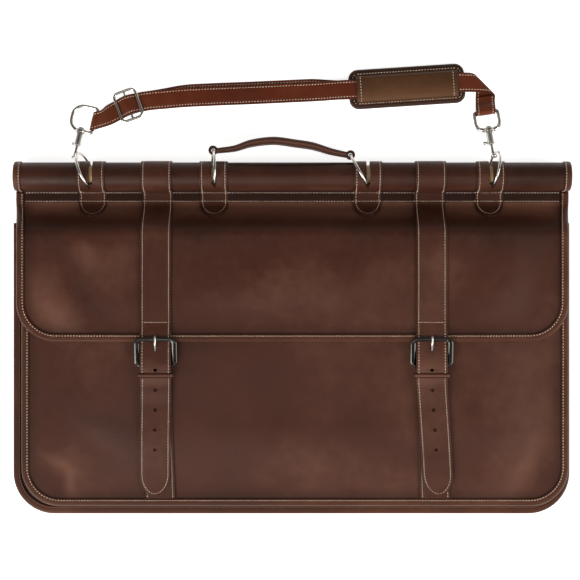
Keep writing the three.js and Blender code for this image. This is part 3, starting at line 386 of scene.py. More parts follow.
@dataclass(frozen=True)
class StudioPaper(Finish):
    """Matt white studio paper, lit evenly."""

    name: str = "studio_paper"
    slot: str = ""
    white: str = "#fbfbfa"
    glow: float = 0.8

    def surface(self, tree: bpy.types.NodeTree) -> dict:
        """Plain, and needing no node of its own.

        Args:
            tree: The node tree; not used.

        Returns:
            The shader's inputs.
        """
        white = hex_colour(self.white)
        return {"Base Color": white, "Roughness": 0.9, "Specular IOR Level": 0.1, "Emission Color": white,
                "Emission Strength": self.glow}


HIDE = Leather("waxed_hide", "hide", "#2c150d", "#4b281c", "#714a3a", "#27110b")
# The binding's dark edge colour is its raw edges' own and also paints the shadow line along its inner edge.
BINDING = Leather("binding_hide", "edge_binding", "#2f160b", "#4d2a1a", "#6f4832", "#28120a",
                  0.44, 1.2, 0.16)
STRAP = Leather("burnished_strap_leather", "strap_hide", "#2c150d", "#4a281c", "#724b3b", "#27110b", 0.46)
SHOULDER = Leather("russet_strap_hide", "shoulder_hide", "#45190a", "#612914", "#7e4226", "#351307", 0.44)
PAD = Leather("soft_pad_leather", "pad_hide", "#2a180f", "#3d2417", "#573b2a", "#28150c", 0.5)
COVER = Leather("olive_cover_leather", "pad_hide", "#3a2415", "#543620", "#775036", "#2e1b0d", 0.42)
NICKEL = Nickel()
BLACK_NICKEL = Nickel("black_nickel_plate", "nickel", "#5b5853", "#383633", 0.15)
BEECH = Beech()
THREAD = WaxedThread()


class Held(Enum):
    """How a leather sheet is held in the bag."""

    SEWN = "stretched"
    FOLDED = "folded"
    LAID = "laid"


def link_mesh(name: str, points: Array, faces: Iterable[Sequence[int]], edge: Array | float | None = None,
              pull_and_painted_light: Array | float = 0.0) -> Piece:
    """A smooth mesh object from arrays.

    Args:
        name: The piece's name.
        points: Its points, in millimetres.
        faces: Its faces, as rows of point numbers.
        edge: How near the leather's colour is to its cut edge's, which in places also paints shade, or None
            where it isn't leather.
        pull_and_painted_light: How much paler the leather is where it is pulled, with painted highlights and
            shade added.

    Returns:
        The object, at the origin.
    """
    mesh = bpy.data.meshes.new(name)
    mesh.from_pydata((np.asarray(points) * MM).tolist(), [], [list(f) for f in faces])
    for key, values in (("edge", edge), ("pull_and_painted_light", pull_and_painted_light)):
        if edge is not None:
            layer = mesh.attributes.new(key, "FLOAT", "POINT")
            layer.data.foreach_set("value", np.full(len(points), values, np.float32))
    mesh.polygons.foreach_set("use_smooth", [True] * len(mesh.polygons))
    mesh.update()
    obj = bpy.data.objects.new(name, mesh)
    bpy.context.scene.collection.objects.link(obj)
    return obj


def loft(rings: Array, closed: bool = False) -> Skin:
    """A closed skin through equal rings of points.

    Args:
        rings: Rows of closed sections, shaped (rows, points, 3).
        closed: Whether the last ring joins the first.

    Returns:
        The points and the faces, turned outwards.
    """
    rows, size = rings.shape[:2]
    points = rings.reshape(-1, 3)
    j = np.arange(rows if closed else rows - 1)[:, None]
    i = np.arange(size)[None, :]
    here, after = j * size, ((j + 1) % rows) * size
    k = (i + 1) % size
    quads = np.stack([here + i, here + k, after + k, after + i], axis=-1).reshape(-1, 4)
    a, b, c, d = (points[quads[:, n]] for n in range(4))
    volume = np.einsum("ij,ij->", a, np.cross(b, c)) + np.einsum("ij,ij->", a, np.cross(c, d))
    faces = quads.tolist()
    if not closed:
        faces.append(list(range(size))[::-1])
        faces.append(list(range((rows - 1) * size, rows * size)))
    if volume < 0:
        faces = [f[::-1] for f in faces]
    return points, faces


def shell(at: Array, up: Array, thick: float) -> Skin:
    """A leather wall: a grid of places with normals, given its thickness and a rounded rim.

    Args:
        at: Middle places, shaped (rows, columns, 3).
        up: Normals there.
        thick: The leather's thickness.

    Returns:
        The points, upper side, under side and rim in turn, and the faces.
    """
    count = at.shape[0] * at.shape[1]
    ids = np.arange(count).reshape(at.shape[:2])
    top, under = at + up * thick / 2, at - up * thick / 2
    quads = np.stack([ids[:-1, :-1], ids[:-1, 1:], ids[1:, 1:], ids[1:, :-1]], axis=-1).reshape(-1, 4)
    a, b, d = (at.reshape(-1, 3)[quads[:, n]] for n in (0, 1, 3))
    facing = np.einsum("ij,ij->", np.cross(b - a, d - a), up.reshape(-1, 3)[quads[:, 0]])
    if facing < 0:
        quads = quads[:, ::-1]
    border = np.r_[ids[0, :-1], ids[:-1, -1], ids[-1, :0:-1], ids[:0:-1, 0]]
    if facing < 0:
        border = border[::-1]
    flat, normal = at.reshape(-1, 3), up.reshape(-1, 3)
    run = unit(flat[np.roll(border, -1)] - flat[np.roll(border, 1)])
    rim = flat[border] + np.cross(run, normal[border]) * 0.3 * thick
    points = np.r_[top.reshape(-1, 3), under.reshape(-1, 3), rim]
    faces = quads.tolist() + (quads[:, ::-1] + count).tolist()
    edge = np.arange(len(border)) + 2 * count
    after, upper, lower = np.roll(edge, -1), border, border + count
    faces += np.stack([np.roll(upper, -1), upper, edge, after], axis=-1).tolist()
    faces += np.stack([after, edge, lower, np.roll(lower, -1)], axis=-1).tolist()
    return points, faces


def band(at: Array, up: Array, across: Array, half: Array | float, thick: float,
         groove: float = 0.22, closed: bool = False) -> tuple[Array, list[list[int]], Array]:
    """A strap with eased edges, a slight crown and a groove under each row of stitches.

    Args:
        at: Places along the strap's middle.
        up: Normals there.
        across: Directions across it, or one for all.
        half: Half widths there, or one for all.
        thick: The leather's thickness.
        groove: Depth of the stitch grooves.
        closed: Whether it is a loop.

    Returns:
        The points, the faces, and a mark that is 1 on the cut edges.
    """
    half = np.broadcast_to(np.asarray(half, float), (len(at),))
    across = np.broadcast_to(across, at.shape)
    t = thick / 2
    inset = np.array([0.0, 0.12, 0.45, 0.95, 2.1, 2.9, 3.7, 6.0])
    level = np.array([0.35 * t, 0.72 * t, 0.95 * t, t, t, t - groove, t, t + 0.06])
    worn = np.array([1.0, 0.95, 0.7, 0.3, 0.05, 0.0, 0.0, 0.0])
    scale = np.minimum(half / 8.0, 1.0)[:, None]
    right = half[:, None] - inset[None, :] * scale
    low = np.where(level > 0.9 * t, t, level)
    wide = np.concatenate([right, np.zeros((len(at), 1)), -right[:, ::-1]], axis=1)
    section = np.concatenate([wide, wide[:, ::-1]], axis=1)
    upper = np.r_[level, [t + 0.1], level[::-1]]
    under = np.r_[low, [t], low[::-1]]
    rise = np.r_[upper, -under][None, :, None]
    rings = at[:, None] + across[:, None] * section[:, :, None] + up[:, None] * rise
    points, faces = loft(rings, closed)
    side = np.r_[worn, [0.0], worn[::-1]]
    return points, faces, np.tile(np.r_[side, side], len(at))


@dataclass
class Stitching:
    """Rows of saddle stitches, gathered into one mesh."""

    name: str
    pitch: float = 3.3
    length: float = 1.8
    radius: float = 0.46
    lean: float = 0.1
    centres: list[Array] = field(default_factory=list)
    runs: list[Array] = field(default_factory=list)
    ups: list[Array] = field(default_factory=list)

    def row(self, points: Array, ups: Array) -> None:
        """Adds a row of stitches along a line on the leather.

        Args:
            points: The line, on the leather's surface.
            ups: The leather's normals there, or one for all.
        """
        points = np.asarray(points, float)
        ups = np.broadcast_to(np.asarray(ups, float), points.shape)
        far = np.r_[[0], np.cumsum(np.linalg.norm(np.diff(points, axis=0), axis=1))]
        count = int(far[-1] / self.pitch)
        if count < 1:
            return
        spare = (far[-1] - count * self.pitch) / 2
        places = spare + (np.arange(count) + 0.5) * self.pitch

        def along(values: Array, where: Array) -> Array:
            """Values at so far along the line."""
            return columns(*(np.interp(where, far, values[:, n]) for n in range(3)))

        ahead, behind = along(points, places + 0.8), along(points, places - 0.8)
        self.centres.append(along(points, places))
        self.runs.append(unit(ahead - behind))
        self.ups.append(unit(along(ups, places)))

    def build(self) -> Piece:
        """All the rows as one mesh of short rounded threads that dip into the leather at both ends.

        Returns:
            The stitches.
        """
        centre, run, up = (np.concatenate(x) for x in (self.centres, self.runs, self.ups))
        side = unit(np.cross(up, run))
        # Saddle stitches lean a few degrees off the row, all the same way
        run = unit(run + self.lean * side)
        side = unit(np.cross(up, run))
        r, h = self.radius, self.length / 2
        angles = np.arange(6) * math.pi / 3
        steps = [(-1.0, 0.45, -0.35), (-0.72, 0.9, 0.0), (0.0, 1.0, 0.1), (0.72, 0.9, 0.0),
                 (1.0, 0.45, -0.35)]
        template = np.array([[u * h, w * r * math.cos(a), (lift + w * math.sin(a) * 0.8) * r]
                             for u, w, lift in steps for a in angles])
        size = len(template)
        points = (centre[:, None] + run[:, None] * template[None, :, :1]
                  + side[:, None] * template[None, :, 1:2] + up[:, None] * template[None, :, 2:3])
        i = np.arange(6)
        k = (i + 1) % 6
        quads = np.concatenate([columns(i, k, k + 6, i + 6) + 6 * j for j in range(len(steps) - 1)])
        caps = [list(range(6))[::-1], list(range(size - 6, size))]
        faces: list[list[int]] = []
        for n in range(len(centre)):
            faces += (quads + n * size).tolist()
            faces += [[v + n * size for v in cap] for cap in caps]
        obj = link_mesh(self.name, points.reshape(-1, 3), faces)
        dress(obj, THREAD, "root")
        return obj


def dress(obj: Piece, finish: Finish, body: str, *nodes: str) -> Piece:
    """Gives a piece its finish, its body and the frame nodes that it stands for.

    Args:
        obj: The piece.
        finish: What it is made of.
        body: The body that it moves with.
        nodes: The frame nodes that it replaces.

    Returns:
        The piece.
    """
    obj.data.materials.clear()
    obj.data.materials.append(finish.material())
    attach(obj, body)
    if nodes:
        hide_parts(*nodes)
    LOG.info("%s: %d faces, on %s", obj.name, len(obj.data.polygons), body)
    return obj


def clear_bench() -> None:
    """Leaves edit mode and deselects everything."""
    if bpy.context.mode != "OBJECT":
        bpy.ops.object.mode_set(mode="OBJECT")
    bpy.ops.object.select_all(action="DESELECT")


def take(*parts: Piece) -> None:
    """Selects parts alone.

    Args:
        parts: The parts, the one to make active first.
    """
    clear_bench()
    for part in parts:
        part.select_set(True)
    bpy.context.view_layer.objects.active = parts[0]


def edit(obj: Piece) -> bmesh.types.BMesh:
    """Opens a piece in edit mode with nothing selected.

    Args:
        obj: The piece.

    Returns:
        Its mesh, as edit mode has it.
    """
    take(obj)
    bpy.ops.object.mode_set(mode="EDIT")
    bpy.ops.mesh.select_mode(type="VERT")
    bpy.ops.mesh.select_all(action="DESELECT")
    return bmesh.from_edit_mesh(obj.data)


def pick(obj: Piece, wanted: Callable[[bmesh.types.BMVert], bool]) -> None:
    """Selects points, and the edges and faces between them, of a piece in edit mode.

    Args:
        obj: The piece.
        wanted: Says of a point whether it is selected.
    """
    mesh = bmesh.from_edit_mesh(obj.data)
    for vert in [v for v in mesh.verts if wanted(v)]:
        vert.select_set(True)
    mesh.select_flush(True)
    bmesh.update_edit_mesh(obj.data)


def lay(obj: Piece, place: Matrix) -> Piece:
    """Puts a piece's place in its mesh, so that the object stays at the origin.

    Args:
        obj: The piece, modelled at the origin.
        place: Where it goes, in metres.

    Returns:
        The piece.
    """
    take(obj)
    obj.matrix_world = place
    bpy.ops.object.transform_apply(location=True, rotation=True, scale=True)
    return obj


def settle(obj: Piece, place: Matrix, name: str) -> Piece:
    """Turns the faces out, puts the place in the mesh and smooths it.

    Args:
        obj: The piece, modelled at the origin.
        place: Where it goes, in metres.
        name: Its name.

    Returns:
        The piece, at the origin with its place in its mesh.
    """
    edit(obj)
    bpy.ops.mesh.select_all(action="SELECT")
    bpy.ops.mesh.remove_doubles(threshold=1e-6)
    bpy.ops.mesh.normals_make_consistent(inside=False)
    lay(obj, place)
    bpy.ops.object.shade_smooth_by_angle(angle=math.radians(38))
    obj.name = obj.data.name = name
    return obj


def lathe(profile: Sequence[tuple[float, float]], sides: int = 32) -> Piece:
    """A turned piece on the Y axis, extruded and sized ring by ring from a circle.

    Args:
        profile: Pairs of radius and place along Y, in millimetres.
        sides: Points round it.

    Returns:
        The piece.
    """
    clear_bench()
    radius, level = profile[0]
    bpy.ops.mesh.primitive_circle_add(vertices=sides, radius=radius * MM, fill_type="NGON",
                                      location=(0, 0, level * MM))
    obj = bpy.context.object
    bpy.ops.object.transform_apply(location=True, rotation=True, scale=True)
    edit(obj)
    bpy.ops.mesh.select_all(action="SELECT")
    for wide, here in profile[1:]:
        bpy.ops.mesh.extrude_region_move(
            TRANSFORM_OT_translate={"value": (0, 0, (here - level) * MM)})
        bpy.ops.transform.resize(value=(wide / radius, wide / radius, 1))
        radius, level = wide, here
    return lay(obj, turned_by(-90, "X"))


def torus(radius: float, wire: float, around: int, across: int) -> Piece:
    """A ring of round wire in the XY plane.

    Args:
        radius: Its radius, to the wire's middle.
        wire: The wire's radius.
        around: Points round the ring.
        across: Points round the wire.

    Returns:
        The piece.
    """
    clear_bench()
    bpy.ops.mesh.primitive_torus_add(major_segments=around, minor_segments=across,
                                     major_radius=radius * MM, minor_radius=wire * MM)
    return bpy.context.object


def slot_block(middle: Sequence[float], size: Sequence[float]) -> Piece:
    """A block to cut a slot with.

    Args:
        middle: Its middle, in millimetres.
        size: Its size.

    Returns:
        The block.
    """
    clear_bench()
    bpy.ops.mesh.primitive_cube_add(size=1)
    obj = bpy.context.object
    obj.matrix_world = moved(*middle) @ Matrix.Diagonal((*(s * MM for s in size), 1))
    return obj


def wire_frame(half_x: float, half_y: float, far: float, near: float, wire: float) -> Piece:
    """A frame of bent wire in the XY plane, its two ends made from halves of two tori.

    Args:
        half_x: Half width, to the wire's middle.
        half_y: Half length, to the wire's middle.
        far: Corner radius at the +Y end.
        near: Corner radius at the -Y end.
        wire: The wire's radius.

    Returns:
        The piece.
    """
    ends = []
    for sign, corner in ((1, far), (-1, near)):
        obj = torus(corner, wire, 40, 16)
        edit(obj)
        pick(obj, lambda v: v.co.y * sign < -1e-7)
        bpy.ops.mesh.delete(type="VERT")
        for side in (1, -1):
            bpy.ops.mesh.select_all(action="DESELECT")
            pick(obj, lambda v: v.co.x * side > 1e-7)
            bpy.ops.transform.translate(value=(side * (half_x - corner) * MM, 0, 0))
        bpy.ops.mesh.select_all(action="SELECT")
        bpy.ops.transform.translate(value=(0, sign * (half_y - corner) * MM, 0))
        ends.append(obj)
    frame = joined(ends)
    for side in (1, -1):
        edit(frame)
        pick(frame, lambda v: v.is_boundary and v.co.x * side > 0)
        bpy.ops.mesh.bridge_edge_loops()
    clear_bench()
    return frame


def joined(parts: Sequence[Piece]) -> Piece:
    """Joins parts.

    Args:
        parts: The parts.

    Returns:
        The first of them, with the others in it.
    """
    take(*parts)
    bpy.ops.object.join()
    return parts[0]


def bent_wire(points: Array, radius: float, taper: Sequence[float] | None = None) -> Piece:
    """A round wire bent along points, drawn as a curve and made a mesh.

    Args:
        points: Its middle line, in millimetres.
        radius: The wire's radius.
        taper: Shares of the radius at the points.

    Returns:
        The piece.
    """
    curve = bpy.data.curves.new("wire", "CURVE")
    curve.dimensions = "3D"
    curve.bevel_depth = radius * MM
    curve.bevel_resolution = 4
    curve.use_fill_caps = True
    line = curve.splines.new("POLY")
    line.points.add(len(points) - 1)
    for n, place in enumerate(np.asarray(points) * MM):
        line.points[n].co = (*place, 1.0)
        line.points[n].radius = 1.0 if taper is None else taper[n]
    obj = bpy.data.objects.new("wire", curve)
    bpy.context.scene.collection.objects.link(obj)
    take(obj)
    bpy.ops.object.convert(target="MESH")
    return bpy.context.object


def cut(obj: Piece, *tools: Piece) -> None:
    """Cuts tools out of a piece and removes them.

    Args:
        obj: The piece.
        tools: What is cut out of it, in turn.
    """
    for tool in tools:
        take(obj)
        modifier = obj.modifiers.new("cut", "BOOLEAN")
        modifier.operation = "DIFFERENCE"
        modifier.solver = "EXACT"
        modifier.object = tool
        bpy.ops.object.modifier_apply(modifier=modifier.name)
        bpy.data.objects.remove(tool)
        bpy.ops.object.shade_smooth_by_angle(angle=math.radians(50))


@dataclass(frozen=True)
class Fold:
    """A broad dent or ridge in soft leather; the tone tables also use it for soft patches of painted
    highlight and shade.
    """

    x: float
    y: float
    deg: float
    along: float
    across: float
    height: float

    def at(self, x: Array, y: Array) -> Array:
        """Its height at places in plan.

        Args:
            x: The places' X.
            y: Their Y.

        Returns:
            Heights there.
        """
        c, s = math.cos(math.radians(self.deg)), math.sin(math.radians(self.deg))
        along = (x - self.x) * c + (y - self.y) * s
        across = (y - self.y) * c - (x - self.x) * s
        return self.height * np.exp(-((along / self.along) ** 2) - (across / self.across) ** 2)


@dataclass(frozen=True)
class Outline:
    """A panel's outline in plan, with round lower corners."""

    x: float
    half: float
    bottom: float
    top: float
    corner: float

    def half_at(self, y: Array) -> Array:
        """Half width at a height in plan."""
        into = np.maximum(self.bottom + self.corner - np.asarray(y, float), 0)
        return self.half - self.corner + np.sqrt(np.maximum(self.corner**2 - into**2, 0))

    def rows(self, plain: int, bend: int = 16) -> Array:
        """Rows from the foot, round the corners and up to the top."""
        low = self.bottom + self.corner * (1 - arc(90, 0, bend + 1)[:, 1])
        return np.r_[low, np.linspace(self.bottom + self.corner, self.top, plain + 1)[1:]]

    def grid(self, ys: Array, half: Array, count: int) -> tuple[Array, Array, Array]:
        """A grid over the panel in plan.

        Args:
            ys: Its rows.
            half: Half widths there.
            count: Points in a row.

        Returns:
            The points' X and Y, and how far they are from the sides and the foot.
        """
        x = self.x + np.linspace(-1, 1, count)[None, :] * half[:, None]
        y = np.broadcast_to(ys[:, None], x.shape)
        return x, y, np.minimum(half[:, None] - np.abs(x - self.x), y - self.bottom)

    def round(self, side_top: float, side: int = 44, bend: int = 16, foot: int = 130) -> tuple[Array, Array]:
        """The way down the left side, along the foot and up the right side.

        Args:
            side_top: Where the sides start.
            side: Steps on a side.
            bend: Steps in a corner.
            foot: Steps on the foot.

        Returns:
            Places in plan and the directions inwards.
        """
        reach = self.half - self.corner
        left = columns(self.x - self.half, np.linspace(side_top, self.bottom + self.corner, side + 1))
        turn = arc(180, 270, bend + 1)[1:]
        centre = np.array([self.x - self.half + self.corner, self.bottom + self.corner])
        low = columns(self.x + np.linspace(-reach, 0, foot // 2 + 1)[1:], self.bottom)
        places = np.r_[left, centre + self.corner * turn, low]
        inward = np.concatenate([np.tile(X_WAY[:2], (len(left), 1)), -turn,
                                 np.tile(Y_WAY[:2], (len(low), 1))])
        mirror = np.array([-1.0, 1.0])
        back = (places[:-1] - [self.x, 0]) * mirror + [self.x, 0]
        return np.r_[places, back[::-1]], np.r_[inward, (inward[:-1] * mirror)[::-1]]


FRONT_FOLDS = (
    Fold(-250, -198, 35, 75, 30, -3.0), Fold(250, -160, 62, 95, 34, 3.0), Fold(-40, -150, 5, 150, 60, -2.5),
    Fold(60, -205, -8, 130, 32, 2.0), Fold(-250, -215, -70, 26, 11, 1.0), Fold(-225, -172, -40, 45, 18, -1.3),
    Fold(-32, -165, -60, 60, 38, 1.2), Fold(264, -165, 72, 75, 13, 1.2), Fold(215, -190, 70, 50, 20, -1.0),
)
FLAP_FOLDS = (
    Fold(-225, 10, -62, 60, 26, 2.5), Fold(20, 5, 8, 120, 34, 2.5), Fold(240, 15, 70, 60, 28, 2.0),
    Fold(-232, 46, -50, 24, 12, 1.0), Fold(-231, 0, -58, 55, 16, -1.5),
    Fold(-268, -24, -58, 40, 15, 2.0), Fold(-40, 12, 8, 70, 28, 1.0), Fold(233, -8, 25, 60, 30, 1.0),
)
# Painted highlights and shade on the front, as soft patches: pale crescents and streaks that stand in for the
# sheen on its folds, a paler lower-left corner, and darker patches in its dents and creases.
FRONT_PAINTED_LIGHT_AND_SHADE = (
    Fold(-259, -195, -28, 24, 6, 0.26), Fold(-248, -217, -82, 17, 6, 0.26),
    Fold(-275, -211, -20, 17, 10, -0.12),
    Fold(-263, -228, -40, 10, 5, -0.2), Fold(-262, -195, -35, 60, 42, 0.24), Fold(262, -201, 64, 42, 11, 0.2),
    Fold(287, -213, 40, 18, 13, -0.16), Fold(-82, -72, -15, 55, 26, -0.1), Fold(-60, -165, 60, 60, 40, 0.1),
    Fold(-211, -151, -35, 40, 14, -0.1), Fold(255, -150, 62, 70, 40, -0.1),
)
# Painted highlights and shade on the flap, as soft patches: pale where its ridges would catch the light, dark
# in its dents.
FLAP_PAINTED_LIGHT_AND_SHADE = (
    Fold(-231, 0, -58, 62, 17, -0.22), Fold(-268, -24, -58, 42, 17, 0.2), Fold(236, 12, 55, 80, 45, -0.2),
    Fold(-232, 47, -40, 22, 9, 0.12), Fold(-192, 42, 10, 30, 22, 0.1),
)


def lifted(mid: Callable[[Array, Array], Array], x: Array, y: Array, offset: float) -> tuple[Array, Array]:
    """Places at an offset from a soft surface.

    Args:
        mid: The surface's height at places in plan.
        x: The places' X.
        y: Their Y.
        offset: How far off the surface they are.

    Returns:
        The places, and the surface's normals there.
    """
    x, y = np.broadcast_arrays(np.asarray(x, float), np.asarray(y, float))
    d = 0.5
    slope_x = (mid(x + d, y) - mid(x - d, y)) / (2 * d)
    slope_y = (mid(x, y + d) - mid(x, y - d)) / (2 * d)
    up = unit(columns(-slope_x, -slope_y, 1.0))
    return columns(x, y, mid(x, y)) + up * offset, up


@dataclass(frozen=True)
class BagForm:
    """The bag's own shape: outlines, leathers and the heights of its soft surfaces."""

    gap: float = 0.35
    panel: float = 2.0
    flap_leather: float = 2.2
    gusset_leather: float = 1.5
    binding_leather: float = 1.6
    binding_face: float = 7.4
    binding_row: float = 4.7
    tab_leather: float = 1.6
    strap_leather: float = 2.2
    panel_room: float = 0.6
    back: Outline = Outline(0, 313.8, -252, 108, 45)
    front: Outline = Outline(4, 305.5, -241, 58, 42)
    flap: Outline = Outline(1, 307, -56, 62, 42)
    roll_half: float = 311
    back_mid: float = 2.95
    front_edge: float = 26.8
    rise_top: float = 98
    rise_end: float = 62
    seam: float = 4
    roll_y: float = 128.1
    roll_z: float = 23.2
    roll_radius: float = 14.4
    roll_fillet: float = 4
    pinch: float = 7.65
    rear_leg: float = 5.3

    def front_mid(self, x: Array, y: Array) -> Array:
        """Height of the front panel's middle: flat in the binding, swelling inside it.

        Args:
            x: The places' X.
            y: Their Y.

        Returns:
            Heights there.
        """
        side = self.front.half - np.abs(x - self.front.x)
        inside = smooth(side, 12, 120) * smooth(np.asarray(y) - self.front.bottom, 12, 90)
        return self.front_edge + inside * (10 + sum(f.at(x, y) for f in FRONT_FOLDS))

    def flap_mid(self, x: Array, y: Array) -> Array:
        """Height of the flap's middle, from the beam's seam down over the front.

        Args:
            x: The places' X.
            y: Their Y.

        Returns:
            Heights there.
        """
        side = self.flap.half - np.abs(x - self.flap.x)
        room = mix(4.6, 3.0, smooth(side, 12, 120))
        ridge = sum(f.at(x, y) for f in FLAP_FOLDS) * smooth(side, 12, 60)
        ridge = ridge * smooth(np.asarray(y) - self.flap.bottom, 12, 48)
        over = self.panel_top(x, np.minimum(y, self.front.top)) + room + ridge + self.flap_leather / 2
        return mix(self.pinch, over, smooth(-np.asarray(y), -self.rise_top, -self.rise_end))

    def flap_half(self, y: Array) -> Array:
        """Half width of the flap at a height in plan."""
        wide = mix(self.flap.half, self.roll_half, smooth(y, self.rise_end, self.rise_top + self.seam))
        return np.where(np.asarray(y) > self.rise_end, wide, self.flap.half_at(y))

    def on_flap(self, x: Array, y: Array, offset: float = 0.0) -> tuple[Array, Array]:
        """Places at an offset from the flap's middle, and its normals there."""
        return lifted(self.flap_mid, x, y, offset)

    def beam_rows(self, offset: float, rear: Sequence[tuple[float, float]]) -> Array:
        """Section of the rolled beam, from its rear seam leg round the rod to the front of the seam.

        Args:
            offset: How far outside the flap leather's middle it runs.
            rear: Its first rows, on the rear leg.

        Returns:
            Rows of (y, z).
        """
        near = self.roll_y - self.roll_radius - self.roll_fillet
        foot = self.pinch + self.roll_fillet
        round_rod = arc(-100, 180, 71, self.roll_radius + offset, self.roll_y, self.roll_z)
        lead = np.linspace(rear[-1], round_rod[0], 7)[1:-1]
        fall = np.linspace(round_rod[-1], (round_rod[-1][0], foot), 7)[1:-1]
        bend = arc(0, -90, 9, self.roll_fillet - offset, near, foot)
        flat = np.linspace(bend[-1], (self.rise_top + self.seam, self.pinch + offset), 4)[1:]
        return np.r_[np.asarray(rear, float), lead, round_rod, fall, bend, flat]

    def panel_top(self, x: Array, y: Array) -> Array:
        """Height of the front panel's upper face."""
        return self.front_mid(x, y) + self.panel / 2


FORM = BagForm()


def beam_band(x: float, offset: float, bedded: float) -> tuple[Array, Array]:
    """Places and normals of a strap's middle over the beam.

    Args:
        x: The strap's place along the beam.
        offset: Its height over the flap leather's middle.
        bedded: How far it has bedded into the soft roll.

    Returns:
        Places and normals.
    """
    rows = FORM.beam_rows(offset, [(110.0, FORM.rear_leg - offset)])
    normal = row_normals(rows)
    rows = rows - normal * (bedded * smooth(rows[:, 1], 13, 22))[:, None]
    return columns(x, *rows.T), columns(0.0, *normal.T)


@dataclass
class RingWay:
    """Where a ring hangs in the beam."""

    name: str
    x: float
    tilt: float
    lean: float
    radius: float = 21.4
    wire: float = 1.5
    room: float = 0.5
    hole_y: float = 117.6
    hole_rise: float = 11.4
    slit: tuple[float, float, float] = (2.0, 11.8, 20.4)

    def hang(self) -> Matrix:
        """Where the ring hangs.

        Returns:
            The ring's middle, with Y to its far end, in metres.
        """
        reach = math.sqrt(self.radius**2 - self.hole_rise**2)
        turn = turned_by(self.tilt, "Z") @ turned_by(self.lean, "Y")
        return moved(self.x, self.hole_y, FORM.roll_z) @ turn @ moved(0, reach, 0)

    def place(self) -> Matrix:
        """The place of a ring that is modelled flat."""
        return self.hang() @ turned_by(90, "Y")

    def far_end(self) -> Array:
        """The middle of the wire at the ring's far end, in millimetres."""
        return np.array(self.hang() @ Vector((0, self.radius * MM, 0))) / MM

    def cutters(self) -> list[Piece]:
        """Tools for the ring's way and its slit through the leather over the rod.

        Returns:
            The two tools.
        """
        way = lay(torus(self.radius, self.wire + self.room, 64, 12), self.place())
        half, inner, outer = self.slit
        ring = np.r_[arc(-42, 128, 37, outer), arc(-42, 128, 37, inner)[::-1]]
        ring = ring + [FORM.roll_y, FORM.roll_z]
        rows = [columns(self.x + dx, *ring.T) for dx in (-half, half)]
        return [way, link_mesh("slit", *loft(np.array(rows)))]


RINGS = (RingWay("shoulder_left", -225, 22, -14), RingWay("handle_left", -87.5, 1, 6),
         RingWay("handle_right", 86, 30, -4), RingWay("shoulder_right", 223.5, -12.5, 10))


def binding_section(above: float, below: float, room: float, reach: float = 6.7) -> tuple[Array, Array]:
    """Section of a folded edge binding.

    Args:
        above: How far the bound leathers reach over their middle.
        below: How far they reach under it.
        room: Clearance inside the fold.
        reach: How far the binding laps inwards.

    Returns:
        Pairs of reach inwards and height, and a mark for raw edges, whose dark colour also paints the shadow
        line along the binding's inner edge.
    """
    b = FORM.binding_leather
    top, foot = above + room, below + room
    middle, tall = (top - foot) / 2, (top + foot) / 2 + b
    nose = arc(90, 270, 15) * [b + 1.0, tall] + [1.0 - room, middle]
    upper = [(reach, top + 0.4 * b), (reach - 0.15, top + 0.85 * b), (reach - 0.6, top + b),
             (5.4, top + b - 0.03), (4.7, top + b - 0.26), (4.0, top + b - 0.03), (3.2, top + b),
             (2.2, top + b)]
    lower = [(u, middle - (v - middle)) for u, v in reversed(upper)]
    inside = [(reach, -foot), (0.4 - room, -foot), (-room, -foot + 0.4), (-room, top - 0.4),
              (0.4 - room, top), (reach, top)]
    points = np.array(upper + nose.tolist() + lower + inside)
    marks = np.zeros(len(points))
    last = len(points) - len(inside)
    # The inner raw edges take the dark edge colour, which also paints the shadow line along the binding's
    # inner edge.
    marks[[0, 1, last - 2, last - 1]] = 0.8
    return points, marks


def bind(node: str, section: tuple[Array, Array], at: Array, along: Array, up: Array,
         tuck: Array | float = 0.0) -> None:
    """Makes and dresses a binding, its section carried along the bound edge.

    Args:
        node: The frame node that it stands for.
        section: Pairs of reach inwards and height, and a mark for raw edges, whose dark colour also paints
            the shadow line along the binding's inner edge.
        at: Places on the bound edge.
        along: Directions inwards there.
        up: Normals there.
        tuck: How far the under side is drawn in, where another leather lies close below.
    """
    shape, raw = section
    tuck = np.broadcast_to(np.asarray(tuck, float), (len(at),))
    rise = np.where(shape[:, 1] < 0, shape[:, 1] * (1 - 0.75 * tuck[:, None]), shape[:, 1])
    rings = at[:, None] + along[:, None] * shape[None, :, :1] + up[:, None] * rise[:, :, None]
    obj = dress(link_mesh(node + "_strip", *loft(rings), np.tile(raw, len(at))), BINDING, "root", node)


def grid_marks(pull_and_painted_light: Array | float, edge: Array, count: int) -> tuple[Array, Array]:
    """Point marks of a shell from values on its grid.

    Args:
        pull_and_painted_light: How much paler the leather is where it is pulled, with painted highlights and
            shade added.
        edge: How near the colour is to the edge's, which in places also paints shade.
        count: The shell's number of points.

    Returns:
        The marks for edge and pull, with the rim as a cut edge.
    """
    rim = count - 2 * edge.size
    pull_and_painted_light, edge = np.broadcast_to(pull_and_painted_light, edge.shape).ravel(), edge.ravel()
    return np.r_[edge, edge, np.ones(rim)], np.r_[pull_and_painted_light, pull_and_painted_light, np.zeros(rim)]


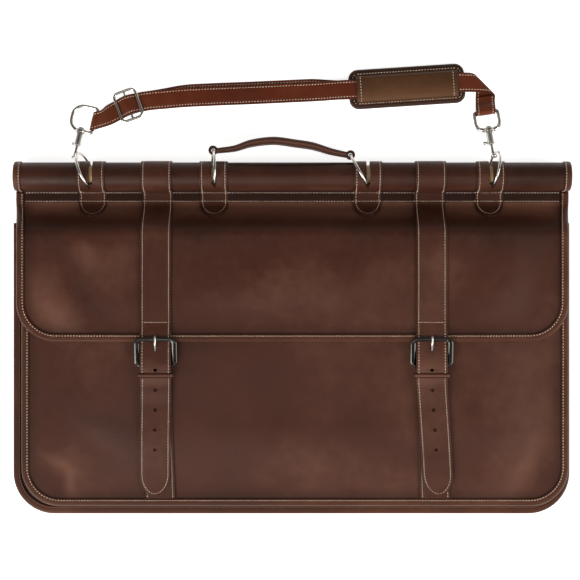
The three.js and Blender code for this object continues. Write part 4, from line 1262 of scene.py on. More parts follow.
@dataclass
class Body:
    """The bag's body: back, bellows gusset and swelling front, bound round their edges."""

    gusset_fold: tuple[tuple[str, float, float], ...] = (
        ("back", 0.6, 5.05), ("back", 11, 5.05), ("back", 30, 11.6), ("back", 33, 14.0),
        ("front", 24, 16.6), ("front", 11, 24.7), ("front", 0.6, 24.7))
    ripple: float = 0.35
    side_top: float = 76
    stitch: Stitching = field(default_factory=lambda: Stitching("stitches_body"))

    def build(self) -> None:
        """Makes and dresses the body's pieces."""
        self.front()
        self.back()
        self.gusset()
        self.binding("front_binding", FORM.front, FORM.front.top, FORM.front_edge, 1.0, 2.85)
        self.binding("back_binding", FORM.back, self.side_top, FORM.back_mid, 2.85, 1.0)
        self.stitch.build()

    def front(self) -> None:
        """The front panel, swelling between its bindings."""
        ys = FORM.front.rows(86)
        x, y, side = FORM.front.grid(ys, FORM.front.half_at(ys), 171)
        points, faces = shell(*lifted(FORM.front_mid, x, y, 0.0), FORM.panel)
        # Paler on the folds' ridges, as pulled leather is, and darker in their dents as painted shade; the
        # tone table then adds painted highlights and shade.
        pull_and_painted_light = np.clip(sum(f.at(x, y) for f in FRONT_FOLDS) * 0.05, -0.08, 0.13)
        pull_and_painted_light = pull_and_painted_light + sum(f.at(x, y) for f in FRONT_PAINTED_LIGHT_AND_SHADE)
        marks = grid_marks(pull_and_painted_light, 0.45 * (1 - smooth(side, 6, 22)), len(points))
        obj = dress(link_mesh("front_panel_hide", points, faces, *marks), HIDE, "root", "front_panel")

    def back(self) -> None:
        """The back panel that the bag lies on."""
        o = FORM.back
        ys = o.rows(50)
        x, y, side = o.grid(ys, np.where(ys > self.side_top, o.half - 6, o.half_at(ys)), 61)
        at = columns(x, y, FORM.back_mid)
        points, faces = shell(at, np.broadcast_to(Z_WAY, at.shape), FORM.panel)
        marks = grid_marks(0.0, 0.4 * (1 - smooth(side, 6, 30)), len(points))
        obj = dress(link_mesh("back_panel_hide", points, faces, *marks), HIDE, "root", "back_panel")

    def gusset(self) -> None:
        """The bellows strip between the two panels, folded inwards."""
        back, back_in = FORM.back.round(self.side_top - 2)
        front, front_in = FORM.front.round(FORM.front.top)
        line = []
        for side, reach, z in self.gusset_fold:
            plan = back + back_in * reach if side == "back" else front + front_in * reach
            line.append(columns(*plan.T, z))
        fine = np.stack([spline(knots, 31) for knots in np.stack(line, axis=1)])
        ripple = np.sin(np.arange(len(back)) * 0.9)[:, None] * np.sin(np.linspace(0, math.pi, 31))[None, :]
        fine[:, :, 2] += self.ripple * ripple
        step = np.gradient(fine, axis=1)
        outward = columns(*back_in.T, 0.0)[:, None]
        run = (step * outward).sum(-1, keepdims=True)
        normal = unit(-outward * step[..., 2:] + Z_WAY * run)
        points, faces = shell(fine, normal, FORM.gusset_leather)
        marks = grid_marks(0.0, np.full(fine.shape[:2], 0.25), len(points))
        obj = dress(link_mesh("gusset_hide", points, faces, *marks), HIDE, "root", "gusset")

    def binding(self, node: str, outline: Outline, top: float, z: float, above: float, below: float) -> None:
        """A folded binding round a panel's sides and foot, with its rows of stitches.

        Args:
            node: The frame node that it stands for.
            outline: The panel's outline.
            top: Where it starts on the sides.
            z: The panel's middle there.
            above: How far the bound leathers reach over that.
            below: How far they reach under it.
        """
        places, inward = outline.round(top)
        at, along = columns(*places.T, z), columns(*inward.T, 0.0)
        up = np.broadcast_to(Z_WAY, at.shape)
        bind(node, binding_section(above, below, FORM.gap), at, along, up)
        # The back's row is drawn in deeper and lies further from the edge, so it hardly shows
        drawn, inset = (0.42, 5.4) if node == "back_binding" else (0.2, FORM.binding_row)
        cover = FORM.gap + FORM.binding_leather
        self.stitch.row(at + along * inset + up * (above + cover - drawn), up)
        self.stitch.row(at + along * FORM.binding_row - up * (below + cover - 0.2), -up)


@dataclass
class FlapAndBeam:
    """One hide from the rear seam, rolled round a wooden rod as the beam, then down over the front."""

    rod_radius: float = 11.6
    rod_half: float = 300
    binding_top: float = 111.0
    beam_binding_share: float = 0.76
    seam_rows: tuple[float, float] = (110.2, 100.6)
    tab_half: float = 16
    strap_half: float = 17.5
    straps: tuple[float, float] = (-151.5, 156.2)
    stitch: Stitching = field(default_factory=lambda: Stitching("stitches_flap"))

    def build(self) -> None:
        """Makes and dresses the rod, the flap and their bindings."""
        self.rod()
        self.flap()
        self.flap_binding()
        for side, name in ((-1, "left"), (1, "right")):
            self.beam_binding(side, name)
        self.seam_stitches()
        self.stitch.build()

    def rod(self) -> None:
        """The dowel inside the beam, with eased ends."""
        r, h = self.rod_radius, self.rod_half
        obj = lathe([(r - 1.4, -h), (r - 0.4, -h + 0.4), (r, -h + 1.4), (r, -h / 2), (r, 0), (r, h / 2),
                     (r, h - 1.4), (r - 0.4, h - 0.4), (r - 1.4, h)], 48)
        lie = moved(FORM.flap.x, FORM.roll_y, FORM.roll_z) @ turned_by(-90, "Z")
        dress(settle(obj, lie, "beam_rod"), BEECH, "root", "rod")

    def flap(self) -> None:
        """The flap hide with the rings' ways and slits cut in its roll."""
        rows = FORM.beam_rows(0.0, [(y, FORM.rear_leg) for y in (99.0, 102.5, 106.0, 109.0)])
        normal = row_normals(rows)
        x = FORM.flap.x + np.linspace(-1, 1, 161)[None, :] * np.full((len(rows), 1), FORM.roll_half)
        roll_at = columns(x, rows[:, :1], rows[:, 1:])
        roll_up = columns(0 * x, normal[:, :1], normal[:, 1:])
        low = FORM.flap.bottom + FORM.flap.corner
        ys = np.concatenate([np.linspace(FORM.rise_top, FORM.rise_end, 16),
                             np.linspace(FORM.rise_end, low, 26)[1:],
                             low - FORM.flap.corner * arc(0, 90, 19)[1:, 1]])
        fx, fy, side = FORM.flap.grid(ys, FORM.flap_half(ys), 161)
        field_at, field_up = FORM.on_flap(fx, fy)
        at, up = np.r_[roll_at, field_at], np.r_[roll_up, field_up]
        points, faces = shell(at, up, FORM.flap_leather)
        # Tones of the roll: its front catches light, its back and the seam below it lie in shade
        top = roll_up[..., 2]
        in_seam = (roll_at[..., 1] < 113) & (roll_at[..., 2] < 16)
        front = roll_at[..., 1] < FORM.roll_y
        lit = np.where(front, 0.28 * (1 - smooth(top, 0.35, 0.9)), 0.0)
        seam = 0.45 + 0.5 * smooth(roll_at[..., 1], 102, 108)
        shaded = np.where(front, 0.25 * (1 - smooth(top, -0.2, 0.3)), 0.85 * (1 - smooth(top, 0.2, 0.72)))
        # Paler on the folds' ridges, as pulled leather is, and darker in their dents as painted shade, with
        # the tone table's painted highlights and shade.
        fold_pull_and_painted_light = sum(f.at(fx, fy) for f in FLAP_FOLDS) * 0.05 + sum(f.at(fx, fy) for f in FLAP_PAINTED_LIGHT_AND_SHADE)
        # Painted light on the slope just below the seam, which lies in shade, and painted shade over the
        # flap's upper part, deepest in a band where the slope ends.
        below_seam_painted_light = 0.8 * smooth(fy, 71, 96) - 0.12 * smooth(fy, 15, 85) - 0.1 * np.exp(-((fy - 62) / 12) ** 2)
        pull_and_painted_light = np.r_[lit - 0.26, fold_pull_and_painted_light + below_seam_painted_light]
        edge = np.r_[np.where(in_seam, seam, shaded), 0.45 * (1 - smooth(side, 6, 22))]
        obj = link_mesh("flap_hide", points, faces, *grid_marks(pull_and_painted_light, edge, len(points)))
        cut(obj, *(tool for ring in RINGS for tool in ring.cutters()))
        dress(obj, HIDE, "root", "flap")

    def flap_binding(self) -> None:
        """The binding round the flap's sides and foot."""
        places, inward = FORM.flap.round(self.binding_top)
        out = places[:, 0] - FORM.flap.x
        wide = np.where(places[:, 1] > FORM.rise_end, FORM.flap_half(places[:, 1]), np.abs(out))
        at, up = FORM.on_flap(FORM.flap.x + np.sign(out) * wide, places[:, 1])
        along = columns(*inward.T, 0.0)
        along = unit(along - up * (along * up).sum(-1, keepdims=True))
        half, room = FORM.flap_leather / 2, 2 * FORM.gap
        tuck = smooth(at[:, 1], FORM.rise_top - 7, FORM.rise_top - 1)
        bind("flap_binding", binding_section(half, half, room), at, along, up, tuck)
        lift = up * (half + room + FORM.binding_leather - 0.2)
        self.stitch.row(at + along * FORM.binding_row + lift, up)
        self.stitch.row(at + along * FORM.binding_row - lift, -up)

    def beam_binding(self, side: int, name: str) -> None:
        """The binding round one end of the beam.

        Args:
            side: -1 for the left end, 1 for the right.
            name: The end's name.
        """
        rows = FORM.beam_rows(0.0, [(109.0, FORM.rear_leg)])
        keep = (rows[:, 0] > self.binding_top - 3) & (np.arange(len(rows)) > 0)
        at = columns(FORM.flap.x + side * FORM.roll_half, *rows[keep].T)
        up = columns(0.0, *row_normals(rows)[keep].T)
        along = np.broadcast_to(-side * X_WAY, at.shape)
        half, thin = FORM.flap_leather / 2, self.beam_binding_share
        shape, raw = binding_section(half, half, FORM.gap)
        tuck = 1 - smooth(at[:, 1], 111, FORM.roll_y - FORM.roll_radius)
        bind(f"beam_binding_{name}", (shape * [1.0, thin], raw), at, along, up, tuck)
        lift = thin * (half + FORM.gap + FORM.binding_leather) - 0.15
        self.stitch.row(at + along * FORM.binding_row + up * lift, up)

    def seam_stitches(self) -> None:
        """Two rows across the foot of the beam, over the tabs and straps that are sewn down there."""
        xs = np.linspace(-303, 305, 1200)
        lift = np.full_like(xs, FORM.flap_leather / 2)
        sewn = [(ring.x, self.tab_half, FORM.gap + FORM.tab_leather) for ring in RINGS]
        sewn += [(x, self.strap_half, FORM.panel_room + FORM.strap_leather) for x in self.straps]
        for x, half, thick in sewn:
            lift = np.where(np.abs(xs - x) < half, lift + thick, lift)
        for y in self.seam_rows:
            self.stitch.row(columns(xs, y, FORM.pinch + lift), Z_WAY)


@dataclass
class TabsAndRings:
    """Four slit tabs sewn over the beam, and the steel rings that work in them."""

    half: float = 16
    tip: float = 80.7
    row_inset: float = 3.0
    wire_share: float = 1.04
    stitch: Stitching = field(default_factory=lambda: Stitching("stitches_tabs"))

    def build(self) -> None:
        """Makes and dresses each tab and ring."""
        for ring in RINGS:
            self.tab(ring)
            self.ring(ring)
        self.stitch.build()

    def tab(self, ring: RingWay) -> None:
        """A tab from behind the beam, over it and down to a tongue on the flap.

        Args:
            ring: The ring that works in it.
        """
        offset = FORM.flap_leather / 2 + FORM.gap + FORM.tab_leather / 2
        over, over_up = beam_band(ring.x, offset, 0.6)
        c, s = arc(0, 90, 15)[1:].T
        ys = np.r_[[FORM.rise_top], self.tip + self.half * (1 - s)]
        low, low_up = FORM.on_flap(ring.x, ys, offset)
        at, up = np.r_[over, low], np.r_[over_up, low_up]
        tongue_half = np.sqrt(np.maximum((self.half * c) ** 2, 0.1))
        half = np.r_[np.full(len(over) + 1, self.half), tongue_half]
        points, faces, edge = band(at, up, X_WAY, half, FORM.tab_leather)
        obj = link_mesh(f"tab_{ring.name}_hide", points, faces, 0.7 * edge)
        cut(obj, *ring.cutters())
        dress(obj, STRAP, "root", f"tab_{ring.name}")
        lift = FORM.tab_leather / 2 - 0.12
        start = next(n for n in range(len(over)) if over_up[n, 2] > 0.1 and over[n, 2] > 20)
        inset = self.half - self.row_inset
        c, s = arc(0, 90, 12).T
        end_y = self.tip + self.row_inset + 1.15 * inset * (1 - s)
        tongue, tongue_up = FORM.on_flap(ring.x - inset * c, end_y, offset + lift)
        left = np.r_[over[start:] + over_up[start:] * lift - X_WAY * inset, tongue]
        left_up = np.r_[over_up[start:], tongue_up]
        mirror = np.array([2 * ring.x, 0, 0]) + left * np.array([-1.0, 1, 1])
        self.stitch.row(np.r_[left, mirror[::-1]], np.r_[left_up, left_up[::-1]])

    def ring(self, ring: RingWay) -> None:
        """A ring bent from round wire, with the swelling where its ends are welded.

        Args:
            ring: The ring's place and size.
        """
        obj = torus(ring.radius, self.wire_share * ring.wire, 112, 18)
        for reach, swell in ((0.05, 0.10), (0.026, 0.12)):
            edit(obj)
            pick(obj, lambda v: abs(math.atan2(v.co.y, v.co.x) + 0.5 * math.pi + 0.35) < 2 * reach)
            bpy.ops.transform.shrink_fatten(value=swell * MM)
        dress(settle(obj, ring.place(), f"ring_{ring.name}_wire"), NICKEL, "root", f"ring_{ring.name}")


@dataclass
class Closing:
    """One closing strap, the strap on the front that carries its buckle, and the fastened buckle."""

    side: str
    x: float
    skew: float
    front_skew: float
    stitch: Stitching
    half: float = 17.5
    row_inset: float = 2.9
    sewn_end: float = -36
    tip: float = -231
    skew_from: float = -102
    taper: float = 25
    rest_y: float = -54.6
    flap_edge: float = -47.98
    hinge_y: float = -84.7
    bar: float = 1.9
    buckle_half: float = 21
    prong_radius: float = 1.3
    prong_hole: float = -66.9
    prong_tip: float = -50.8
    hole_pitch: float = 22.3
    hole_radius: float = 1.9
    front_half: float = 17.1
    front_bottom: float = -233.9
    flat_to: float = -130
    doubled_to: float = -110
    return_end: float = -108
    keeper_y: float = -95.5
    keeper_half: float = 18.3
    keeper_leather: float = 1.3
    keeper_rise: tuple[float, float] = (3.0, 11.3)

    def build(self) -> None:
        """Makes and dresses the pieces of this closing."""
        self.closing_strap()
        self.front_strap()
        self.buckle()
        self.prong()
        self.keeper()

    @property
    def hinge_z(self) -> float:
        """Height of the buckle's hinge bar."""
        return float(FORM.panel_top(self.x, self.hinge_y)) + 2 * FORM.gap + 2 * self.prong_radius + self.bar

    @property
    def over_binding(self) -> float:
        """Height of the strap's middle over the flap's, where it crosses the binding."""
        return FORM.flap_leather / 2 + 3 * FORM.gap + FORM.binding_leather + FORM.strap_leather / 2

    @property
    def rest_mid(self) -> float:
        """Height of the strap's middle under the bar that the prong rests on."""
        return float(FORM.flap_mid(self.x, self.rest_y)) + self.over_binding

    @property
    def rest_z(self) -> float:
        """Height of the bar that the prong rests on."""
        return self.rest_mid + FORM.strap_leather / 2 + FORM.gap + self.bar

    @property
    def wrap(self) -> float:
        """Radius of the front strap's middle round the hinge bar."""
        return self.bar + FORM.gap + FORM.panel / 2

    def lying(self, y: Array) -> Array:
        """Height of the front strap's middle where it lies on the panel."""
        return FORM.panel_top(self.x, y) + FORM.panel_room + FORM.panel / 2

    def front_strap_mid(self, y: Array) -> Array:
        """Height of the front strap's middle: on the panel, doubled, then over the hinge bar.

        Args:
            y: Places along it.

        Returns:
            Heights there.
        """
        doubled = self.lying(y) + FORM.panel + FORM.gap
        rising = mix(doubled, self.hinge_z + self.wrap, smooth(y, self.doubled_to, self.hinge_y))
        flat = mix(self.lying(y), doubled, smooth(y, self.flat_to, self.doubled_to))
        return np.where(np.asarray(y) < self.doubled_to, flat, rising)

    def billet_mid(self, y: Array | float) -> Array:
        """Height of the free strap end's middle over the front strap."""
        return self.front_strap_mid(y) + FORM.panel / 2 + FORM.gap + FORM.strap_leather / 2

    def askew(self, degrees: float, y: Array | float) -> Array:
        """Sideways place of a strap that lies askew below the buckle."""
        return self.x + math.tan(math.radians(degrees)) * np.maximum(self.skew_from - np.asarray(y), 0)

    def strap_line(self) -> tuple[Array, Array, Array]:
        """Middle line of the closing strap.

        Returns:
            Places, normals and half widths.
        """
        offset = FORM.flap_leather / 2 + FORM.panel_room + FORM.strap_leather / 2
        over, over_up = beam_band(self.x, offset, 1.2)
        sewn, sewn_up = FORM.on_flap(self.x, np.linspace(FORM.rise_top, self.sewn_end, 60), offset)
        tip = self.tip + self.taper * (1 - arc(0, 90, 19)[:, 1])
        free = np.r_[np.linspace(self.sewn_end - 2, tip[0], 118), tip[1:]]
        crossing = float(FORM.flap_mid(self.x, self.flap_edge)) + self.over_binding
        first, ends = float(self.billet_mid(self.hinge_y)), float(sewn[-1, 2])
        knots = [(self.hinge_y - 8, float(self.billet_mid(self.hinge_y - 8))), (self.hinge_y, first),
                 (self.hinge_y + 6.7, first), (-60.0, self.rest_mid + 0.2), (self.rest_y, self.rest_mid),
                 (self.flap_edge, crossing), (self.sewn_end, ends), (self.sewn_end + 6, ends)]
        z = np.where(free > self.hinge_y, through(*zip(*knots), free), self.billet_mid(free))
        loose = columns(self.askew(self.skew, free), free, z)
        loose_up = columns(0.0, *row_normals(columns(free, z)).T)
        to_tip = np.maximum(1 - (free - self.tip) / self.taper, 0)
        narrow = self.half * np.sqrt(np.maximum(1 - to_tip**2, 0.0004))
        half = np.r_[np.full(len(over) + len(sewn), self.half), narrow]
        return np.r_[over, sewn, loose], np.r_[over_up, sewn_up, loose_up], half

    def closing_strap(self) -> None:
        """The strap from behind the beam, over the flap and through the buckle to its round end."""
        at, up, half = self.strap_line()
        points, faces, edge = band(at, up, X_WAY, half, FORM.strap_leather)
        pull_and_painted_light = 0.10 * np.exp(-((at[:, 1] + 92) / 16) ** 2) + 0.05 * np.sin(at[:, 1] / 19) ** 2
        pull_and_painted_light = np.repeat(pull_and_painted_light, len(points) // len(at))
        obj = link_mesh(f"closing_strap_{self.side}_hide", points, faces, 0.8 * edge, pull_and_painted_light)
        holes = [self.punch(self.prong_hole - k * self.hole_pitch) for k in range(1, 6)]
        cut(obj, *holes, bent_wire(self.prong_line(), self.prong_radius + FORM.gap + 0.1))
        dress(obj, STRAP, "root", f"closing_strap_{self.side}")
        start = next(n for n in range(len(at)) if up[n, 2] > 0.1 and at[n, 2] > 20)
        lift = FORM.strap_leather / 2 - 0.15
        row = np.arange(start, int(np.argmin(np.abs(at[:, 1] - self.tip - self.taper))))
        inset = self.half - self.row_inset
        c, s = arc(0, 90, 16).T
        ys = self.tip + self.row_inset + (self.taper - self.row_inset) * (1 - s)
        middle = self.askew(self.skew, ys)
        left = np.concatenate([at[row] + up[row] * lift - X_WAY * inset,
                               columns(middle - inset * c, ys, self.billet_mid(ys) + lift)])
        left_up = np.r_[up[row], np.tile(up[-1], (16, 1))]
        right = left.copy()
        right[:, 0] = 2 * np.r_[at[row, 0], middle] - left[:, 0]
        self.stitch.row(np.r_[left, right[::-1]], np.r_[left_up, left_up[::-1]])
        xs = np.linspace(self.x - self.half + 3.4, self.x + self.half - 3.4, 20)
        n = int(np.argmin(np.abs(at[:, 1] - self.sewn_end)))
        self.stitch.row(columns(xs, at[n, 1], at[n, 2] + FORM.strap_leather / 2), up[n])

    def punch(self, y: float) -> Piece:
        """A punch for one of the strap's holes.

        Args:
            y: The hole's place along the strap.

        Returns:
            The punch.
        """
        tool = lathe([(self.hole_radius, -6), (self.hole_radius, 6)], 20)
        tool.matrix_world = moved(self.askew(self.skew, y), y, self.billet_mid(y)) @ turned_by(90, "X")
        return tool

    def front_strap(self) -> None:
        """The strap sewn on the front, up to the buckle, round its hinge bar and back under itself."""
        ys = np.linspace(self.front_bottom, self.hinge_y, 110)
        turn = arc(90, -90, 17, self.wrap, self.hinge_y, self.hinge_z)[1:]
        back_y = np.linspace(-90, self.return_end, 9)
        rows = np.concatenate([columns(ys, self.front_strap_mid(ys)), turn,
                               columns(back_y, self.lying(back_y))])
        at = columns(self.askew(self.front_skew, rows[:, 0]), *rows.T)
        up = -columns(0.0, *row_normals(rows).T)
        up = np.where((up[:1, 2] < 0)[:, None], -up, up)
        points, faces, edge = band(at, up, X_WAY, self.front_half, FORM.panel)
        obj = link_mesh(f"front_strap_{self.side}_hide", points, faces, 0.8 * edge)
        cut(obj, slot_block((self.x, self.hinge_y, self.hinge_z), (4.8, 20, 20)))
        dress(obj, STRAP, "root", f"front_strap_{self.side}")
        line, line_up = at[:len(ys)], up[:len(ys)]
        for side in (-1, 1):
            inset = X_WAY * side * (self.front_half - self.row_inset)
            self.stitch.row(line + line_up * (FORM.panel / 2 - 0.15) + inset, line_up)

    def buckle(self) -> None:
        """The buckle's frame of heavy wire, wide at its far corners and tight at its hinge."""
        rise, reach = self.rest_z - self.hinge_z, self.rest_y - self.hinge_y
        far = math.hypot(rise, reach) / 2
        frame = wire_frame(self.buckle_half, far, 5.2, 4.6, self.bar)
        for side in (-1, 1):
            edit(frame)
            pick(frame, lambda v: v.co.x * side > (self.buckle_half - 3) * MM and v.co.y > -13 * MM)
            middle = (side * self.buckle_half * MM, 0, 0)
            bpy.ops.transform.resize(value=(1.7, 1, 0.6), center_override=middle)
        edit(frame)
        pick(frame, lambda v: v.co.y > (far - 3) * MM and abs(v.co.x) < 16.5 * MM)
        bpy.ops.transform.resize(value=(1, 1.35, 0.9), center_override=(0, far * MM, 0))
        place = moved(self.x, (self.rest_y + self.hinge_y) / 2, (self.rest_z + self.hinge_z) / 2)
        place = place @ Matrix.Rotation(math.atan2(rise, reach), 4, "X")
        frame = settle(frame, place, f"buckle_{self.side}_wire")
        dress(frame, BLACK_NICKEL, "root", f"buckle_frame_{self.side}")

    def prong_line(self) -> Array:
        """The prong's middle line: an eye round the hinge bar, then up through the strap to the far bar.

        Returns:
            Its points.
        """
        eye = self.bar + FORM.gap + self.prong_radius
        loop = columns(self.x, *arc(20, -250, 28, eye, self.hinge_y, self.hinge_z).T)
        top = self.rest_z + eye
        under = [(self.x, y, self.hinge_z + z) for y, z in ((-79.5, 3.3), (-73.0, 2.9), (-69.2, 3.7))]
        over = [(self.x, y, top + z)
                for y, z in ((-64.2, -3.4), (-59.8, -0.7), (self.rest_y, 0), (self.prong_tip, 0))]
        return np.r_[loop, spline([loop[-1], *under, *over], 36)[1:]]

    def prong(self) -> None:
        """The prong, drawn to a blunt round tip."""
        line = self.prong_line()
        obj = bent_wire(line, self.prong_radius, [1.0] * (len(line) - 4) + [0.97, 0.9, 0.75, 0.45])
        obj = settle(obj, Matrix.Identity(4), f"buckle_{self.side}_prong")
        dress(obj, NICKEL, "root", f"buckle_prong_{self.side}")

    def keeper(self) -> None:
        """The leather loop that holds the strap's end down below the buckle."""
        low, high = (z + float(FORM.panel_top(self.x, self.keeper_y)) for z in self.keeper_rise)
        half = self.keeper_leather / 2
        loop, out = rounded(self.keeper_half + half, (high - low) / 2, 1.6, 7)
        at = columns(self.x + loop[:, 0], self.keeper_y, (high + low) / 2 + half + loop[:, 1])
        up = columns(out[:, 0], 0.0, out[:, 1])
        points, faces, edge = band(at, up, Y_WAY, 2.5, self.keeper_leather, 0.0, True)
        # A painted highlight along the keeper's middle, with painted shade towards its sides.
        pull_and_painted_light = 0.35 - 0.75 * smooth(np.abs(points[:, 1] - self.keeper_y), 0.7, 1.9)
        obj = link_mesh(f"keeper_{self.side}_hide", points, faces, edge, pull_and_painted_light)
        dress(obj, STRAP, "root", f"keeper_{self.side}")


@dataclass
class CarryHandle:
    """The padded carrying handle, standing on its edge, with a leather eye round each of its rings."""

    sections: tuple[tuple[float, float, float, float], ...] = (
        (-84.8, 156.6, 6.2, 11), (-64, 159.2, 7.2, 16), (-45, 165, 8.6, 21), (-20, 167.8, 9.2, 22),
        (4, 164.9, 9.2, 22), (24, 161.8, 8.8, 21), (44, 155.8, 7.8, 16), (62.8, 151.8, 6.8, 11))
    squareness: float = 0.75
    eye_radius: float = 5.2
    eye_bore: float = 2.4
    eye_tall: float = 11

    def build(self) -> None:
        """Makes and dresses the handle."""
        rows = spline(self.sections, 90)
        tangent = unit(np.gradient(rows[:, :2], axis=0))
        normal = columns(-tangent[:, 1], tangent[:, 0], 0.0)
        a = np.linspace(0, 2 * math.pi, 44, endpoint=False)
        c, s = np.cos(a), np.sin(a)
        wide, tall = (np.sign(v) * np.abs(v) ** self.squareness * 0.5 for v in (c, s))
        # The two hides meet in a raised seam along the handle's upper and lower edge
        ridge = np.exp(-(np.abs(np.abs(s) - 1) / 0.012))
        at = columns(rows[:, 0], rows[:, 1], FORM.roll_z)
        rings = (at[:, None] + normal[:, None] * (wide[None, :, None] * rows[:, 2][:, None, None])
                 + Z_WAY * ((tall * (1 + 0.04 * ridge))[None, :, None] * rows[:, 3][:, None, None]))
        # The seam's ridge is painted paler as a highlight, and the upright sides are painted darker as shade.
        edge, pull_and_painted_light = (np.tile(v, len(rows)) for v in (0.15 * (1 - np.abs(s)), 0.45 * ridge - 0.12))
        body = link_mesh("carry_handle_hide", *loft(rings), edge, pull_and_painted_light)
        obj = joined([body, self.eye(RINGS[1]), self.eye(RINGS[2])])
        dress(obj, STRAP, "root", "handle")

    def eye(self, ring: RingWay) -> Piece:
        """A loop of leather round a ring's far end.

        Args:
            ring: The ring.

        Returns:
            The loop.
        """
        x, y, z = ring.far_end()
        h, r, bore = self.eye_tall / 2, self.eye_radius, self.eye_bore
        reach, level = np.array([(bore, -h), (r - 0.5, -h), (r, -h + 0.6), (r + 0.1, 0), (r, h - 0.6),
                                 (r - 0.5, h), (bore, h), (bore, 0)]).T
        rings = [columns(x + reach * math.cos(t), y + reach * math.sin(t), z + level)
                 for t in np.linspace(0, 2 * math.pi, 32, endpoint=False)]
        return link_mesh("eye", *loft(np.stack(rings), True), 0.4, -0.1)


@dataclass
class SnapHook:
    """A swivel snap hook: an eye for the strap, a barrel with a claw, and a spring bolt with a thumb knob."""

    side: str
    origin: tuple[float, float, float]
    axis: tuple[float, float, float]
    yaw: float
    roll: float
    strap_on_leg: bool
    eye_start: float
    eye_half: float = 13.6
    eye_legs: float = 29.6
    eye_wire: float = 2.1
    bolt_bore: tuple[tuple[float, float], ...] = ((2.1, 34.4), (2.1, 60.3))
    claw: tuple[float, float, float] = (5.6, 52.6, 8.6)
    claw_wire: float = 1.95
    disc_shift: float = 0.6
    knob_y: float = 44.6

    def frame(self) -> Matrix:
        """The hook's place in metres: the eye's bar at the origin, Y along the hook to its claw."""
        x, y = Vector(self.across()), Vector(self.axis).normalized()
        return moved(*self.origin) @ Matrix((x, y, x.cross(y))).transposed().to_4x4()

    def build(self) -> None:
        """Makes and dresses the eye, the body and the bolt."""
        turned = self.frame() @ turned_by(self.roll, "Y")
        for piece, obj, place, rides in (("eye", self.eye(), self.frame(), "root"),
                                         ("body", self.body(), turned, f"hook_{self.side}"),
                                         ("bolt", self.bolt(), turned, f"bolt_{self.side}")):
            obj = settle(obj, place, f"snap_{self.side}_{piece}")
            dress(obj, NICKEL, rides, f"hook_{piece}_{self.side}")

    def eye(self) -> Piece:
        """The wire eye with the boss that the hook turns in.

        Returns:
            The eye, along Y.
        """
        legs, middle = (self.eye_legs - self.eye_start) / 2, (self.eye_legs + self.eye_start) / 2
        if self.strap_on_leg:
            loop = wire_frame(legs, self.eye_half, 12.5, 3.4, self.eye_wire)
        else:
            loop = wire_frame(self.eye_half, legs, 9.5, 3.4, self.eye_wire)
            edit(loop)
            pick(loop, lambda v: v.co.y > (legs - 3) * MM)
            bpy.ops.transform.shrink_fatten(value=0.7 * MM)
        lay(loop, moved(0, middle, 0) @ turned_by(90 if self.strap_on_leg else 0, "Z"))
        boss = lathe([(4.8, 27.6), (5.6, 27.9), (5.9, 28.5), (5.9, 31.2), (5.6, 31.8), (4.8, 32.1)])
        cut(boss, lathe([(2.4, 24), (2.4, 36)], 24))
        return joined([loop, boss])

    def body(self) -> Piece:
        """The post, the barrel with its knob slot, the claw and the disc that the bolt meets.

        Returns:
            The body, along Y.
        """
        post = lathe([(2.9, 25.6), (3.4, 26.0), (3.4, 27.2), (2.9, 27.6), (2.0, 27.6), (2.0, 34.4)], 24)
        barrel = lathe([(4.2, 32.4), (4.7, 32.8), (4.7, 34.0), (4.2, 34.4), (4.2, 45.0), (4.6, 45.4),
                        (4.6, 46.6), (4.0, 47.0)])
        cut(barrel, lathe(self.bolt_bore, 24))
        cut(barrel, slot_block((-2.7, 40.55, 0), (5.4, 11.3, 3.3)))
        x, y, radius = self.claw
        bend = columns(*arc(-125, 100, 40, radius, x, y).T, 0.0)
        lead = spline([(1.4, 44.6, 0), (1.5, 45.2, 0), bend[0]], 5)[:-1]
        end = [(self.disc_shift, 61.45, 0)]
        claw = bent_wire(np.r_[lead, bend, end], self.claw_wire)
        cut(claw, lathe(self.bolt_bore, 24))
        disc = lathe([(3.4, 60.4), (3.8, 60.7), (3.9, 61.3), (3.8, 62.1), (3.2, 62.7)])
        lay(disc, moved(self.disc_shift, 0, 0))
        return joined([barrel, post, claw, disc])

    def bolt(self) -> Piece:
        """The spring bolt with its thumb knob.

        Returns:
            The bolt, along Y.
        """
        rod = lathe([(1.4, 43.4), (1.7, 43.7), (1.7, 59.0), (1.5, 59.6), (1.1, 59.9)], 24)
        knob = lathe([(1.3, 0), (1.3, 5.6), (1.6, 5.8), (2.0, 6.6), (2.0, 8.0), (1.6, 9.0), (0.8, 9.4)], 24)
        lay(knob, moved(0, self.knob_y, 0) @ turned_by(90, "Z"))
        return joined([rod, knob])

    def bar(self) -> Array:
        """Middle of the bar that the strap goes round, when it goes round the eye's end."""
        return np.array(self.origin) + np.array(self.axis) * self.eye_start

    def across(self) -> Array:
        """Direction along the eye's bar."""
        return np.array([math.cos(math.radians(self.yaw)), math.sin(math.radians(self.yaw)), 0.0])


HOOKS = (SnapHook("left", (-232.369, 208.245, 8.080), (-0.203726, -0.958455, 0.199648), -12, 45, True, 0.0),
         SnapHook("right", (218.962, 209.077, 8.000), (0.134005, -0.953495, 0.269982), 8, 0, False, 7.0))


